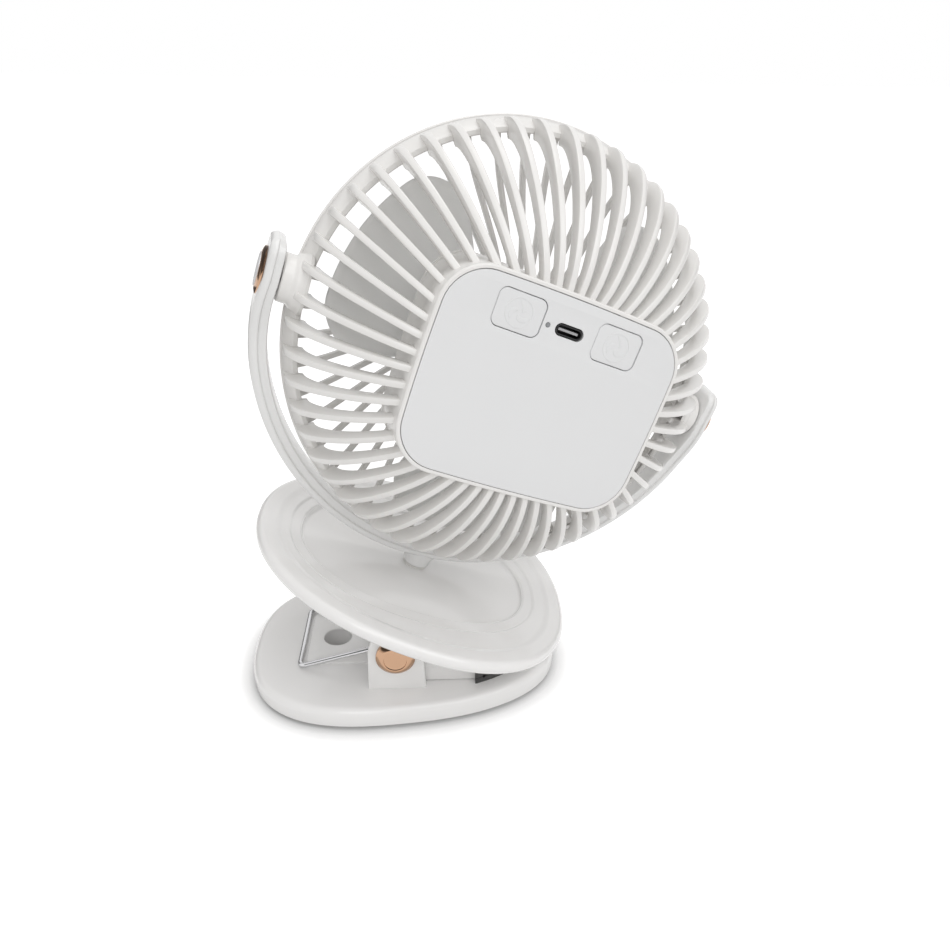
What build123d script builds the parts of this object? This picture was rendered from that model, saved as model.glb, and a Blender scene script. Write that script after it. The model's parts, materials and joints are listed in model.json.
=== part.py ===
from build123d import *

# Clip fan: a caged fan head in a U-shaped yoke that swivels on the dish of a spring clip.
# Frame: origin at the middle of the base's underside, +Z up, +X along the clip to its mouth.
# The fan's back, with its control panel, faces -Y. Millimetres and degrees.

import os
from math import acos, atan2, ceil, cos, hypot, pi, radians, sin

os.makedirs("parts", exist_ok=True)

# ---- how the fan is set at rest ----
jaw_angle = 22.0            # dish plane against the base while the jaws are shut
swivel_angle = 10.1         # yoke turned on the dish
tilt_angle = -8.5           # head leaning back in the yoke

# ---- clearances ----
running_gap = 0.3           # between faces of different bodies that pass each other
seat_gap = 0.05             # between pieces that are assembled face to face
pin_clearance = 0.06        # radial, of a pin or shaft in its bore
panel_gap = 0.2             # round the panel, the buttons and the port
screw_clearance = 0.15      # radial, of a screw in a plain hole

# ---- clip base (lower jaw) ----
base_length = 124.6
base_width = 89.6
base_height = 9.7
base_wall = 2.4
base_edge_radius = 3.0
base_taper = 0.13           # share by which the mouth end is narrower than the middle
oval_power = 2.5            # 2 is an ellipse, more is squarer
base_cover_thickness = 1.8
base_boss_x = 40.0
base_boss_y = 26.0
hanging_hole_x = -27.9
hanging_hole_diameter = 11.5
spring_seat_height = 1.0
spring_seat_margin = 1.2    # between the raised seat and the wire round it

# ---- hinge ----
hinge_x = -1.75
hinge_height = 26.2
ear_inset = 11.8            # of each ear's outer face from the base's side
ear_outer = base_width / 2 - ear_inset
ear_thickness = 4.0
ear_half_width = 10.6
ear_foot_flare = 0.8        # each side, down to the base
pin_diameter = 4.0
lug_radius = 8.5
lug_thickness = 4.0
hinge_cap_diameter = 15.0
hinge_cap_face_diameter = 9.6
hinge_cap_rim = 0.7
hinge_cap_height = 2.5

# ---- torsion spring ----
wire_diameter = 2.0
coil_radius = 4.3           # of the wire's centre line
coil_pitch = 2.5
coil_whole_turns = 2
bail_reach = 39.8           # from the hinge axis back to the bail's far bar
bail_half_width = 19.2
bail_corner_radius = 2.6
upper_leg_reach = 30.0
spring_clear_of_jaw = 0.4

# ---- dish (top of the upper jaw) ----
dish_length = 126.7
dish_width = 118.6
dish_height = 7.7
dish_wall = 2.2
dish_edge_radius = 3.2
dish_bottom_radius = 2.4
dish_side_wall = 3.2
dish_power = 2.2
dish_taper = -0.08          # negative: wider towards the mouth
dish_center_x = -0.9
dish_rise = 25.9            # top of the dish over the hinge axis
lip_width = 9.5             # crowned lip between the dish's edge and the first step
lip_step = 0.8
step_depth = 1.5            # second step, from the dish's top
step_length = 102.0
step_width = 84.0
recess_length = 94.0
recess_width = 72.0
recess_depth = 3.4          # from the dish's top
recess_floor_radius = 1.6
jaw_screw_x = 30.0
jaw_screw_y = 38.0
screw_boss_radius = 3.2
small_screw_diameter = 2.6
small_screw_length = 6.0
small_screw_head_diameter = 4.8
small_screw_head_height = 1.4

# ---- underbody and pads of the jaws ----
underbody_plate = 2.0
underbody_floor = 2.4
mouth_inset = 7.5           # from the base's outline to the pads' outline
underbody_front_x = 9.0     # where the side walls reach down to the base
pad_start_x = 29.0
pad_end_x = 54.0
pad_half_width = 31.5
pad_thickness = 2.4
pad_groove = 0.6
pad_groove_pitch = 3.6

# ---- swivel ----
swivel_boss_radius = 4.8
swivel_boss_flare = 11.0    # radius where the boss runs into the strap
swivel_stub_radius = 3.4
swivel_washer_radius = 4.8
swivel_washer_thickness = 0.8
hub_radius = 8.0
swivel_screw_diameter = 3.0
swivel_screw_head_diameter = 7.0
swivel_screw_head_height = 2.2

# ---- yoke ----
trunnion_height = 89.15     # trunnion axis over the dish's top
yoke_inner_radius = 80.4
yoke_outer_radius = 86.4
yoke_width = 13.0
yoke_step = 0.9             # each side, where the inner half of the strap is narrower
yoke_edge_radius = 2.6
arm_rise = 14.0             # arm ends over the trunnion axis
arm_eye_radius = 9.3
arm_end_radius = 4.5
trunnion_cap_diameter = 15.0
trunnion_cap_rim = 0.3
trunnion_cap_dome = 1.5
trunnion_pin_diameter = 6.0
trunnion_thread_diameter = 3.0
trunnion_head_diameter = 10.4
trunnion_head_height = 1.6
trunnion_washer_thickness = 0.7
trunnion_boss_radius = 7.6

# ---- fan head ----
trunnion_above_center = 2.9
head_radius = 75.7
band_wall = 2.5
band_lean = 3.4             # how far the band's rear edge leans in
band_straight = 0.6         # depth of the band's upright edge at the seam
spigot_ledge = 1.4
band_rear = -4.5
band_front = 1.8
front_lip = 4.1
spigot_depth = 2.6
spigot_wall = 1.2
ring_bridge = 2.0           # depth where the front ring and its spigot are one
rib_count = 52
rib_thickness = 2.3
rib_depth = 5.0
root_extra_depth = 1.2      # a rib is deeper at the band
shoulder_reach = 15.0       # pull of the rib's curve along the axis, at the band
crown_reach = 16.0          # pull of the rib's curve inwards, at the housing
crown_depth = -41.5
rib_root_inset = 0.3

front_rib_count = 36
front_rib_thickness = 1.8
front_rib_depth = 3.0
front_dome_rise = 15.0
front_rib_sweep = 34.0      # degrees that a rib turns from the middle to the ring
front_disc_radius = 15.0

# ---- control housing and panel ----
panel_width = 79.6
panel_height = 61.7
panel_corner = 12.0
panel_bulge = 0.9
panel_center_x = -0.1
panel_center_z = -1.3
panel_face = -42.6
panel_thickness = 2.0
bezel_width = 1.5
housing_front = -20.0
housing_ledge = 1.0         # the ledge inside the bezel that the panel lies on
button_x = 16.8
button_z = 20.5
button_width = 15.4
button_height = 11.2
button_corner = 2.4
button_flange = 1.0
button_flange_thickness = 1.0
button_travel = 0.8
port_x = 0.2
port_z = 20.0
port_width = 9.6
port_height = 3.8
port_shell_width = 8.9
port_shell_height = 3.2
port_shell_wall = 0.35
port_tongue_width = 6.6
port_tongue_thickness = 0.7
led_x = -7.15
led_diameter = 1.4
board_width = 70.0
board_height = 28.0
board_thickness = 1.6
board_center_z = 12.5
board_rear = -35.7
switch_size = 6.0
switch_body = 2.2
battery_diameter = 18.3
battery_length = 65.0
battery_cap_diameter = 6.0
battery_cap_height = 1.2
battery_center_z = -12.5

# ---- motor and impeller ----
mount_plate = 1.8
mount_cup_wall = 1.6
mount_cup_front = -9.0
mount_screw_x = 34.0
mount_screw_z = 25.0
motor_diameter = 24.4
motor_front = -7.0
motor_nose_radius = 3.5
motor_nose_height = 1.2
shaft_diameter = 2.0
shaft_front = 3.0
hub_outer_radius = 19.0
hub_wall = 2.2
hub_rear = -8.0
hub_front = 5.0
hub_nose_radius = 3.0
hub_boss_radius = 3.6
blade_count = 3
blade_tip_radius = 65.0
blade_span_angle = 62.0     # at the tip
blade_root_angle = 48.0     # at the hub
blade_thickness = 1.5
blade_pitch = 72.0          # axial advance of the blade's surface in a whole turn
blade_first_angle = 158.5   # middle of the first blade, seen from behind
blade_tip_corner = 14.0
blade_plane = -2.5

# ---- frames ----
hinge_frame = Location((hinge_x, 0, hinge_height))
jaw_frame = hinge_frame * Rot(0, jaw_angle, 0)
dish_frame = jaw_frame * Pos(dish_center_x, 0, dish_rise)
yoke_frame = dish_frame * Rot(0, 0, swivel_angle) * Pos(0, 0, trunnion_height)
head_frame = yoke_frame * Rot(tilt_angle, 0, 0) * Pos(0, 0, -trunnion_above_center)


def oval(length, width, power, taper, points=24):
    """A squared ellipse whose width shrinks towards +X by taper, as one closed smooth curve."""
    outline = []
    for step in range(points):
        turn = 2 * pi * step / points
        across = abs(cos(turn) / (length / 2)) ** power + abs(sin(turn) / (width / 2)) ** power
        x, y = across ** (-1 / power) * cos(turn), across ** (-1 / power) * sin(turn)
        outline.append((x, y * (1 - taper * x / (length / 2))))
    return make_face(Spline(*outline, periodic=True))


def base_outline(inset=0.0):
    """Plan of the clip base, drawn in by an inset."""
    return oval(base_length - 2 * inset, base_width - 2 * inset, oval_power, base_taper)


def dish_outline(inset=0.0):
    """Plan of the dish, drawn in by an inset."""
    return oval(dish_length - 2 * inset, dish_width - 2 * inset, dish_power, dish_taper)


def bulged_rectangle(width, height, corner, bulge):
    """A rounded rectangle with gently bowed sides that are width and height apart."""
    x, z = width / 2 - bulge, height / 2 - bulge
    sides = [
        ThreePointArc((-x, -z), (0, -height / 2), (x, -z)),
        ThreePointArc((x, -z), (width / 2, 0), (x, z)),
        ThreePointArc((x, z), (0, height / 2), (-x, z)),
        ThreePointArc((-x, z), (-width / 2, 0), (-x, -z)),
    ]
    face = make_face(sides)
    return fillet(face.vertices(), corner)


def panel_outline(grow=0.0):
    """Plan of the control panel, grown by a margin."""
    outline = bulged_rectangle(
        panel_width + 2 * grow, panel_height + 2 * grow, panel_corner + grow, panel_bulge
    )
    return Pos(panel_center_x, panel_center_z) * outline


def slab(sketch, rear, front):
    """A sketch drawn in the head's X and Z, made solid from rear to front along Y."""
    return extrude(Plane.XZ.offset(-front) * sketch, amount=front - rear)


def bar_along_x(radius, start, end):
    """A round bar along X through the frame's origin."""
    return extrude(Plane.YZ.offset(start) * Circle(radius), amount=end - start)


def bar_along_y(radius, start, end):
    """A round bar along Y through the frame's origin."""
    return slab(Circle(radius), start, end)


def mirrored(solid, plane):
    """A solid with its mirror image."""
    return solid + mirror(solid, about=plane)


def four(solid_at, x, y):
    """Four copies of a solid that a function places, at plus and minus x and y."""
    return [solid_at(side_x * x, side_y * y) for side_x in (-1, 1) for side_y in (-1, 1)]


def small_screw(length=small_screw_length):
    """A pan-head screw on the Z axis: head below Z 0, shank above."""
    head = Pos(0, 0, -small_screw_head_height) * extrude(
        Circle(small_screw_head_diameter / 2), amount=small_screw_head_height
    )
    head = chamfer(head.edges().sort_by(Axis.Z)[0], small_screw_head_height / 3)
    return head + extrude(Circle(small_screw_diameter / 2), amount=length)


def jaw_point(x, z):
    """A point of the upper jaw's own X and Z, in the clip's X and Z."""
    place = (jaw_frame * Pos(x, 0, z)).position
    return place.X, place.Z


# ---- clip base ----
def base_shell():
    """Lower jaw: an oval shell, open below, with two hinge ears and the hanging hole."""
    shell = extrude(base_outline(), amount=base_height)
    shell = fillet(shell.edges().group_by(Axis.Z)[-1], base_edge_radius)
    seat_half = bail_half_width - wire_diameter / 2 - spring_seat_margin
    seat_rear = hinge_x - bail_reach + wire_diameter / 2 + spring_seat_margin
    seat_front = hinge_x - ear_half_width
    seat = extrude(
        Pos((seat_rear + seat_front) / 2, 0)
        * RectangleRounded(seat_front - seat_rear, 2 * seat_half, 1.5),
        amount=base_height + spring_seat_height,
    )
    shell += seat
    shell -= extrude(base_outline(base_wall), amount=base_height - base_wall)
    tube_radius = hanging_hole_diameter / 2 + base_wall / 2
    shell += Pos(hanging_hole_x, 0) * extrude(Circle(tube_radius), amount=base_height - base_wall)
    for boss in four(lambda x, y: Pos(x, y), base_boss_x, base_boss_y):
        pillar = Circle(screw_boss_radius)
        floor = base_cover_thickness + seat_gap
        shell += boss * Pos(0, 0, floor) * extrude(pillar, amount=base_height - base_wall - floor)
        bore = Circle(small_screw_diameter / 2 + pin_clearance)
        shell -= boss * extrude(bore, amount=small_screw_length + 1)
    shell -= Pos(hanging_hole_x, 0) * extrude(
        Circle(hanging_hole_diameter / 2), amount=base_height + spring_seat_height + 1
    )
    return shell + mirrored(ear(), Plane.XZ)


def ear():
    """One hinge ear of the base, with a round top and a flared foot, bored for the pin."""
    foot = ear_half_width + ear_foot_flare
    bottom = base_height - base_wall
    outline = make_face([
        Line((hinge_x - foot, bottom), (hinge_x + foot, bottom)),
        Line((hinge_x + foot, bottom), (hinge_x + ear_half_width, hinge_height)),
        ThreePointArc(
            (hinge_x + ear_half_width, hinge_height),
            (hinge_x, hinge_height + ear_half_width),
            (hinge_x - ear_half_width, hinge_height),
        ),
        Line((hinge_x - ear_half_width, hinge_height), (hinge_x - foot, bottom)),
    ])
    plate = slab(outline, -ear_outer, -ear_outer + ear_thickness)
    bore = Pos(hinge_x, 0, hinge_height) * bar_along_y(
        pin_diameter / 2 + pin_clearance, -ear_outer - 1, -ear_outer + ear_thickness + 1
    )
    return plate - bore


def base_cover():
    """Flat plate that closes the base from below, just inside its wall."""
    inset = base_wall + running_gap / 2
    plate = extrude(base_outline(inset), amount=base_cover_thickness)
    hole = hanging_hole_diameter / 2 + base_wall / 2 + screw_clearance
    plate -= Pos(hanging_hole_x, 0) * extrude(Circle(hole), amount=base_height)
    for place in four(lambda x, y: Pos(x, y), base_boss_x, base_boss_y):
        plate -= place * extrude(
            Circle(small_screw_diameter / 2 + screw_clearance), amount=base_height
        )
        sink = small_screw_head_diameter / 2 + screw_clearance
        plate -= place * extrude(Circle(sink), amount=base_cover_thickness / 2)
    return plate


def base_screws():
    """Four screws that hold the base cover, heads sunk under its face."""
    top = base_cover_thickness / 2
    screw = small_screw(small_screw_length - top)
    sunk = Pos(0, 0, running_gap - top) * extrude(Circle(hub_radius), amount=base_height)
    screw = screw & sunk
    return Compound(children=four(lambda x, y: Pos(x, y, top) * screw, base_boss_x, base_boss_y))


def pad_plan(inset):
    """Plan of a jaw pad: the base's mouth end drawn in, cut square at the back."""
    length = pad_end_x - pad_start_x
    block = Pos(pad_start_x + length / 2, 0) * Rectangle(length, 2 * pad_half_width)
    return block & base_outline(inset)


def grooves(height, depth):
    """Cutters for the grip grooves across a pad, centred on one height."""
    count = int((pad_end_x - pad_start_x) / pad_groove_pitch)
    cutters = []
    for step in range(1, count):
        x = pad_start_x + step * pad_groove_pitch
        cutters.append(Pos(x, 0, height) * Box(pad_groove_pitch / 3, base_width, 2 * depth))
    return cutters


def lower_jaw_pad():
    """Rubber grip pad on the base, grooved across."""
    plate = Pos(0, 0, base_height) * extrude(pad_plan(mouth_inset), amount=pad_thickness)
    return plate - grooves(base_height + pad_thickness, pad_groove)


def upper_jaw_pad():
    """Rubber grip pad under the upper jaw, meeting the lower one while shut."""
    bottom = base_height + pad_thickness + running_gap
    plate = Pos(0, 0, bottom) * extrude(pad_plan(mouth_inset), amount=pad_thickness)
    return plate - grooves(bottom, pad_groove)


def hinge_pin():
    """Steel pin through both ears and both lugs."""
    half = ear_outer - seat_gap
    return hinge_frame * bar_along_y(pin_diameter / 2, -half, half)


def hinge_cap():
    """Turned cap over the pin's end: a rim, a cone and a flat face, on the Z axis."""
    rim, face = hinge_cap_diameter / 2, hinge_cap_face_diameter / 2
    neck = rim - 0.5
    profile = make_face(Polyline(
        (0, 0), (rim, 0), (rim, hinge_cap_rim), (neck, hinge_cap_rim + 0.2),
        (face + 0.4, hinge_cap_height), (face, hinge_cap_height - 0.3),
        (0, hinge_cap_height - 0.3), (0, 0),
    ))
    return revolve(Plane.XZ * profile, Axis.Z)


def hinge_cap_near():
    """Cap on the ear at -Y."""
    return hinge_frame * Pos(0, -ear_outer - seat_gap, 0) * Rot(90, 0, 0) * hinge_cap()


def hinge_cap_far():
    """Cap on the ear at +Y."""
    return hinge_frame * Pos(0, ear_outer + seat_gap, 0) * Rot(-90, 0, 0) * hinge_cap()


# ---- torsion spring ----
def polar(angle, radius=coil_radius):
    """X and Z of a point at an angle round the hinge axis."""
    return hinge_x + radius * cos(angle), hinge_height + radius * sin(angle)


def tangent_angle(point_x, point_z, side):
    """Angle on the coil where a straight leg to a point leaves it; side is -1 below, 1 above."""
    dx, dz = point_x - hinge_x, point_z - hinge_height
    return atan2(dz, dx) - side * acos(coil_radius / hypot(dx, dz))


def spring_half():
    """Edges of half the spring at -Y: bail bar, corner, leg, coil and upper leg, in order."""
    bail_x = hinge_x - bail_reach
    bail_z = base_height + wire_diameter / 2 + seat_gap
    leg_x, leg_z = jaw_point(
        -upper_leg_reach, dish_rise - dish_height - wire_diameter / 2 - spring_clear_of_jaw
    )
    start = tangent_angle(bail_x, bail_z, -1)
    start_x, start_z = polar(start)
    reach = hypot(start_x - bail_x, start_z - bail_z)
    along = Vector((start_x - bail_x) / reach, 0, (start_z - bail_z) / reach)
    corner = Vector(bail_x, -bail_half_width, bail_z)
    bend_in = corner + Vector(0, bail_corner_radius, 0)
    bend_out = corner + along * bail_corner_radius
    end = tangent_angle(leg_x, leg_z, 1)
    sweep = (end - start) % (2 * pi) + 2 * pi * coil_whole_turns
    quarters = ceil(sweep / (pi / 2))
    climb = coil_pitch / (2 * pi)

    def coil_point(turn):
        x, z = polar(start + turn)
        return Vector(x, -bail_half_width + climb * turn, z)

    def coil_direction(turn):
        angle = start + turn
        return Vector(-coil_radius * sin(angle), climb, coil_radius * cos(angle)).normalized()

    entry, exit_point = coil_point(0), coil_point(sweep)
    tip = Vector(leg_x, exit_point.Y, leg_z)
    leg_end = exit_point + (tip - exit_point) * 0.999
    edges = [
        Edge.make_line(Vector(bail_x, 0, bail_z), bend_in),
        Edge.make_tangent_arc(bend_in, Vector(0, -1, 0), bend_out),
        Edge.make_line(bend_out, entry - along * wire_diameter),
    ]
    edges += ease(entry - along * wire_diameter, along, entry, coil_direction(0))
    for step in range(quarters):
        a, b = sweep * step / quarters, sweep * (step + 1) / quarters
        edges += ease(coil_point(a), coil_direction(a), coil_point(b), coil_direction(b))
    away = (leg_end - exit_point).normalized()
    joint = exit_point + away * wire_diameter
    edges += ease(exit_point, coil_direction(sweep), joint, away)
    edges.append(Edge.make_line(joint, leg_end))
    return edges


def ease(start, start_direction, end, end_direction):
    """Two arcs that join two points and keep both directions."""
    chord, turn = end - start, start_direction + end_direction
    a = turn.dot(turn) - 4
    b = -2 * chord.dot(turn)
    c = chord.dot(chord)
    reach = -c / b if abs(a) < 1e-9 else (-b - (b * b - 4 * a * c) ** 0.5) / (2 * a)
    if reach < 0:
        reach = (-b + (b * b - 4 * a * c) ** 0.5) / (2 * a)
    first, second = start + start_direction * reach, end - end_direction * reach
    middle = (first + second) * 0.5
    along = (second - first).normalized()
    return [
        Edge.make_tangent_arc(start, start_direction, middle),
        Edge.make_tangent_arc(middle, along, end),
    ]


def spring_path():
    """The whole wire's centre line, from one upper leg to the other."""
    half = spring_half()
    other = [edge.mirror(Plane.XZ) for edge in half]
    return Wire(list(reversed(half)) + other)


def least_gap(path, steps=900):
    """Smallest free space between stretches of the wire that aren't neighbours."""
    points = [path.position_at(step / steps) for step in range(steps + 1)]
    spacing = path.length / steps
    skip = ceil(pi * wire_diameter / spacing) + 1
    best = path.length
    for first in range(0, steps + 1, 2):
        for second in range(first + skip, steps + 1):
            best = min(best, (points[first] - points[second]).length)
    return best - wire_diameter


def torsion_spring():
    """Double torsion spring: the bail presses the base, two coils sit on the pin."""
    path = spring_path()
    print("least gap of the spring to itself", round(least_gap(path), 2), "mm")
    section = Plane(path.position_at(0), z_dir=path.tangent_at(0)) * Circle(wire_diameter / 2)
    return sweep(section, path=path)


# ---- upper jaw ----
def dish():
    """Oval dish with a crowned lip, two steps and a recess, a swivel hub and screw bosses."""
    body = Pos(0, 0, -dish_height) * extrude(dish_outline(), amount=dish_height)
    body = fillet(body.edges().group_by(Axis.Z)[-1], dish_edge_radius)
    body = fillet(body.edges().group_by(Axis.Z)[0], dish_bottom_radius)
    body -= Pos(0, 0, -lip_step) * extrude(dish_outline(lip_width), amount=lip_step + 1)
    step = oval(step_length, step_width, dish_power, 0)
    body -= Pos(0, 0, -step_depth) * extrude(step, amount=step_depth + 1)
    recess = extrude(oval(recess_length, recess_width, dish_power, 0), amount=recess_depth + 1)
    recess = Pos(0, 0, -recess_depth) * fillet(
        recess.edges().group_by(Axis.Z)[0], recess_floor_radius
    )
    body -= recess
    ceiling = recess_depth + dish_wall
    body -= Pos(0, 0, -dish_height) * extrude(
        dish_outline(dish_side_wall), amount=dish_height - ceiling
    )
    hub_bottom = dish_height - seat_gap
    body += Pos(0, 0, -hub_bottom) * extrude(Circle(hub_radius), amount=hub_bottom - ceiling)
    body -= Pos(0, 0, -dish_height) * extrude(
        Circle(swivel_stub_radius + pin_clearance), amount=dish_height
    )
    plate_top = dish_height - underbody_plate - seat_gap
    for place in four(lambda x, y: Pos(x, y), jaw_screw_x, jaw_screw_y):
        boss = extrude(Circle(screw_boss_radius), amount=plate_top - step_depth - 1)
        body += place * Pos(0, 0, -plate_top) * boss
        bore = Circle(small_screw_diameter / 2 + pin_clearance)
        body -= place * Pos(0, 0, -plate_top) * extrude(bore, amount=small_screw_length / 2)
    return dish_frame * body


def underbody_block(side, floor_drop, back, inset):
    """The wedge between dish and base, side to side, with a given drop, back and inset."""
    closed = base_height + running_gap + floor_drop
    pad_top = base_height + 2 * pad_thickness + running_gap + seat_gap + floor_drop
    top_z = dish_rise - dish_height
    mouth_x = base_length / 2
    left_top = jaw_point(-back, top_z)
    right_top = jaw_point(mouth_x, top_z)
    front = underbody_front_x + floor_drop
    profile = make_face(Polyline(
        left_top, (hinge_x - back, hinge_height), (hinge_x, hinge_height - back),
        (front, closed), (pad_start_x + floor_drop, closed), (pad_start_x + floor_drop, pad_top),
        (mouth_x, pad_top), right_top, left_top,
    ))
    block = slab(profile, -side, side)
    plan = extrude(base_outline(mouth_inset + inset), amount=hinge_height + dish_length)
    return block & (plan + Box(base_length, base_width, 4 * hinge_height, align=Align.MAX))


def jaw_underbody():
    """Closes the dish from below: a plate, two hinge walls and the floor over the pad."""
    inset = dish_side_wall + running_gap / 2
    plate = dish_frame * Pos(0, 0, -dish_height) * extrude(
        dish_outline(inset), amount=underbody_plate
    )
    hub_hole = Circle(hub_radius + running_gap)
    plate -= dish_frame * Pos(0, 0, -dish_height - 1) * extrude(hub_hole, amount=dish_height)
    side = ear_outer - ear_thickness - running_gap
    walls = underbody_block(side, 0, lug_radius, 0)
    hollow = underbody_block(side - lug_thickness, underbody_floor, lug_radius + 2, lug_thickness)
    body = walls - hollow + plate
    body -= hinge_frame * bar_along_y(pin_diameter / 2 + pin_clearance, -ear_outer, ear_outer)
    for place in four(lambda x, y: Pos(x, y, -dish_height - 1), jaw_screw_x, jaw_screw_y):
        hole = Circle(small_screw_diameter / 2 + screw_clearance)
        body -= dish_frame * place * extrude(hole, amount=dish_height)
    return body


def jaw_screws():
    """Four screws that hold the underbody to the dish from below."""
    bottom = -dish_height - seat_gap
    screw = small_screw(small_screw_length / 2 + underbody_plate - 0.5)
    places = four(lambda x, y: Pos(x, y, bottom) * screw, jaw_screw_x, jaw_screw_y)
    return Compound(children=[dish_frame * place for place in places])


def swivel_washer():
    """Friction washer between the yoke's boss and the dish's floor."""
    ring = Circle(swivel_washer_radius) - Circle(swivel_stub_radius + screw_clearance)
    return dish_frame * Pos(0, 0, -recess_depth + seat_gap) * extrude(
        ring, amount=swivel_washer_thickness
    )


# ---- yoke ----
def yoke():
    """U-shaped strap with two eyes for the trunnions and a stub that turns in the dish."""
    thickness = yoke_outer_radius - yoke_inner_radius
    middle = yoke_inner_radius + thickness / 2
    outer_half = strap(middle, yoke_outer_radius, yoke_width)
    outer_half = fillet(
        outer_half.edges().filter_by(GeomType.CIRCLE).sort_by(lambda edge: edge.radius)[-2:],
        yoke_edge_radius,
    )
    inner_half = strap(yoke_inner_radius, middle + thickness / 4, yoke_width - 2 * yoke_step)
    body = outer_half + inner_half + arm(1) + arm(-1)
    boss_bottom = -trunnion_height - recess_depth + swivel_washer_thickness + 2 * seat_gap
    boss_top = -yoke_inner_radius - thickness / 2
    foot = Plane.XY.offset(boss_bottom) * Circle(swivel_boss_radius)
    neck = Plane.XY.offset(-yoke_outer_radius) * Circle(swivel_boss_radius + 1)
    crown = Plane.XY.offset(boss_top) * Ellipse(swivel_boss_flare, yoke_width / 2 - yoke_step)
    body += loft([foot, neck], ruled=True) + loft([neck, crown], ruled=True)
    stub_bottom = -trunnion_height - dish_height + 2 * seat_gap
    stub = extrude(Circle(swivel_stub_radius), amount=boss_top - stub_bottom)
    body += Pos(0, 0, stub_bottom) * stub
    bore = extrude(Circle(swivel_screw_diameter / 2 + pin_clearance), amount=dish_height)
    body -= Pos(0, 0, stub_bottom) * bore
    far = 2 * yoke_outer_radius
    seat = trunnion_boss_radius + running_gap
    bore = trunnion_pin_diameter / 2 + pin_clearance
    sink = yoke_outer_radius - trunnion_head_height - 2 * running_gap
    for side in (-1, 1):
        body -= bar_along_x(seat, side * yoke_inner_radius / 2, side * yoke_inner_radius)
        body -= bar_along_x(bore, side * yoke_inner_radius / 2, side * far)
        body -= bar_along_x(trunnion_head_diameter / 2 + running_gap, side * sink, side * far)
    return yoke_frame * body


def strap(inner, outer, width):
    """Half ring below the trunnion axis with short straight ends up to it."""
    ring = Circle(outer) - Circle(inner)
    lower = Pos(0, -outer / 2) * Rectangle(2 * outer, outer)
    return slab(ring & lower, -width / 2, width / 2)


def arm(side):
    """Straight arm end with a round eye, on the plus or minus X side."""
    half = yoke_width / 2
    blend = 2.4 * arm_eye_radius
    outline = make_face([
        Line((half, -blend), (arm_eye_radius, 0)),
        Line((arm_eye_radius, 0), (arm_eye_radius - 1, arm_rise)),
        Line((arm_eye_radius - 1, arm_rise), (1 - arm_eye_radius, arm_rise)),
        Line((1 - arm_eye_radius, arm_rise), (-arm_eye_radius, 0)),
        Line((-arm_eye_radius, 0), (-half, -blend)),
        Line((-half, -blend), (half, -blend)),
    ])
    top = outline.vertices().filter_by_position(Axis.Y, arm_rise - 0.1, arm_rise + 0.1)
    outline = fillet(top, arm_end_radius)
    thickness = yoke_outer_radius - yoke_inner_radius
    plate = extrude(Plane.YZ.offset(yoke_inner_radius) * outline, amount=thickness)
    reach = 2 * arm_eye_radius
    ring = slab(Circle(yoke_outer_radius) - Circle(yoke_inner_radius), -reach, reach)
    above = Pos(0, 0, arm_rise) * Box(4 * yoke_outer_radius, 2 * reach, 2 * arm_rise)
    plate = plate & (ring + above)
    return plate if side > 0 else mirror(plate, about=Plane.YZ)


def swivel_screw():
    """Screw from below into the yoke's stub, with its wide washer under the dish's hub."""
    washer_top = -dish_height
    head_top = washer_top - swivel_washer_thickness
    washer = Pos(0, 0, head_top) * extrude(
        Circle(swivel_washer_radius), amount=swivel_washer_thickness
    )
    head = Pos(0, 0, head_top - swivel_screw_head_height) * extrude(
        Circle(swivel_screw_head_diameter / 2), amount=swivel_screw_head_height
    )
    head = chamfer(head.edges().group_by(Axis.Z)[0], 0.6)
    shank = Pos(0, 0, head_top) * extrude(
        Circle(swivel_screw_diameter / 2), amount=dish_height
    )
    return dish_frame * (washer + head + shank)


def trunnion_cap():
    """Domed decorative cap, on the Z axis."""
    radius = trunnion_cap_diameter / 2
    crown = radius * 0.72
    top = trunnion_cap_rim + trunnion_cap_dome
    profile = make_face([
        Line((0, 0), (radius, 0)),
        Line((radius, 0), (radius, trunnion_cap_rim)),
        ThreePointArc(
            (radius, trunnion_cap_rim),
            ((radius + crown) / 2 + 0.35, trunnion_cap_rim + 0.62 * trunnion_cap_dome),
            (crown, top),
        ),
        Line((crown, top), (0, top)),
        Line((0, top), (0, 0)),
    ])
    return revolve(Plane.XZ * profile, Axis.Z)


def trunnion_cap_left():
    """Cap on the arm at -X."""
    return yoke_frame * Pos(-yoke_outer_radius - seat_gap, 0, 0) * Rot(0, -90, 0) * trunnion_cap()


def trunnion_cap_right():
    """Cap on the arm at +X."""
    return yoke_frame * Pos(yoke_outer_radius + seat_gap, 0, 0) * Rot(0, 90, 0) * trunnion_cap()


def trunnion_washers():
    """Friction washers between the arms and the head's bosses."""
    outer = yoke_inner_radius - seat_gap
    ring = Circle(trunnion_boss_radius - 0.8) - Circle(trunnion_pin_diameter / 2 + screw_clearance)
    washers = []
    for side in (-1, 1):
        start = outer if side < 0 else outer - trunnion_washer_thickness
        plane = Plane.YZ.offset(side * start)
        washers.append(yoke_frame * extrude(plane * ring, amount=trunnion_washer_thickness))
    return Compound(children=washers)


def trunnion_pins():
    """Shoulder screws that carry the head in the yoke's eyes."""
    head_outer = yoke_outer_radius - running_gap
    under_head = head_outer - trunnion_head_height
    shoulder = trunnion_boss_end() + seat_gap
    pins = []
    for side in (-1, 1):
        thread = bar_along_x(
            trunnion_thread_diameter / 2, side * (head_radius - band_wall), side * under_head
        )
        shank = bar_along_x(trunnion_pin_diameter / 2, side * shoulder, side * under_head)
        head = bar_along_x(trunnion_head_diameter / 2, side * under_head, side * head_outer)
        pins.append(yoke_frame * Rot(tilt_angle, 0, 0) * (thread + shank + head))
    return Compound(children=pins)


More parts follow.
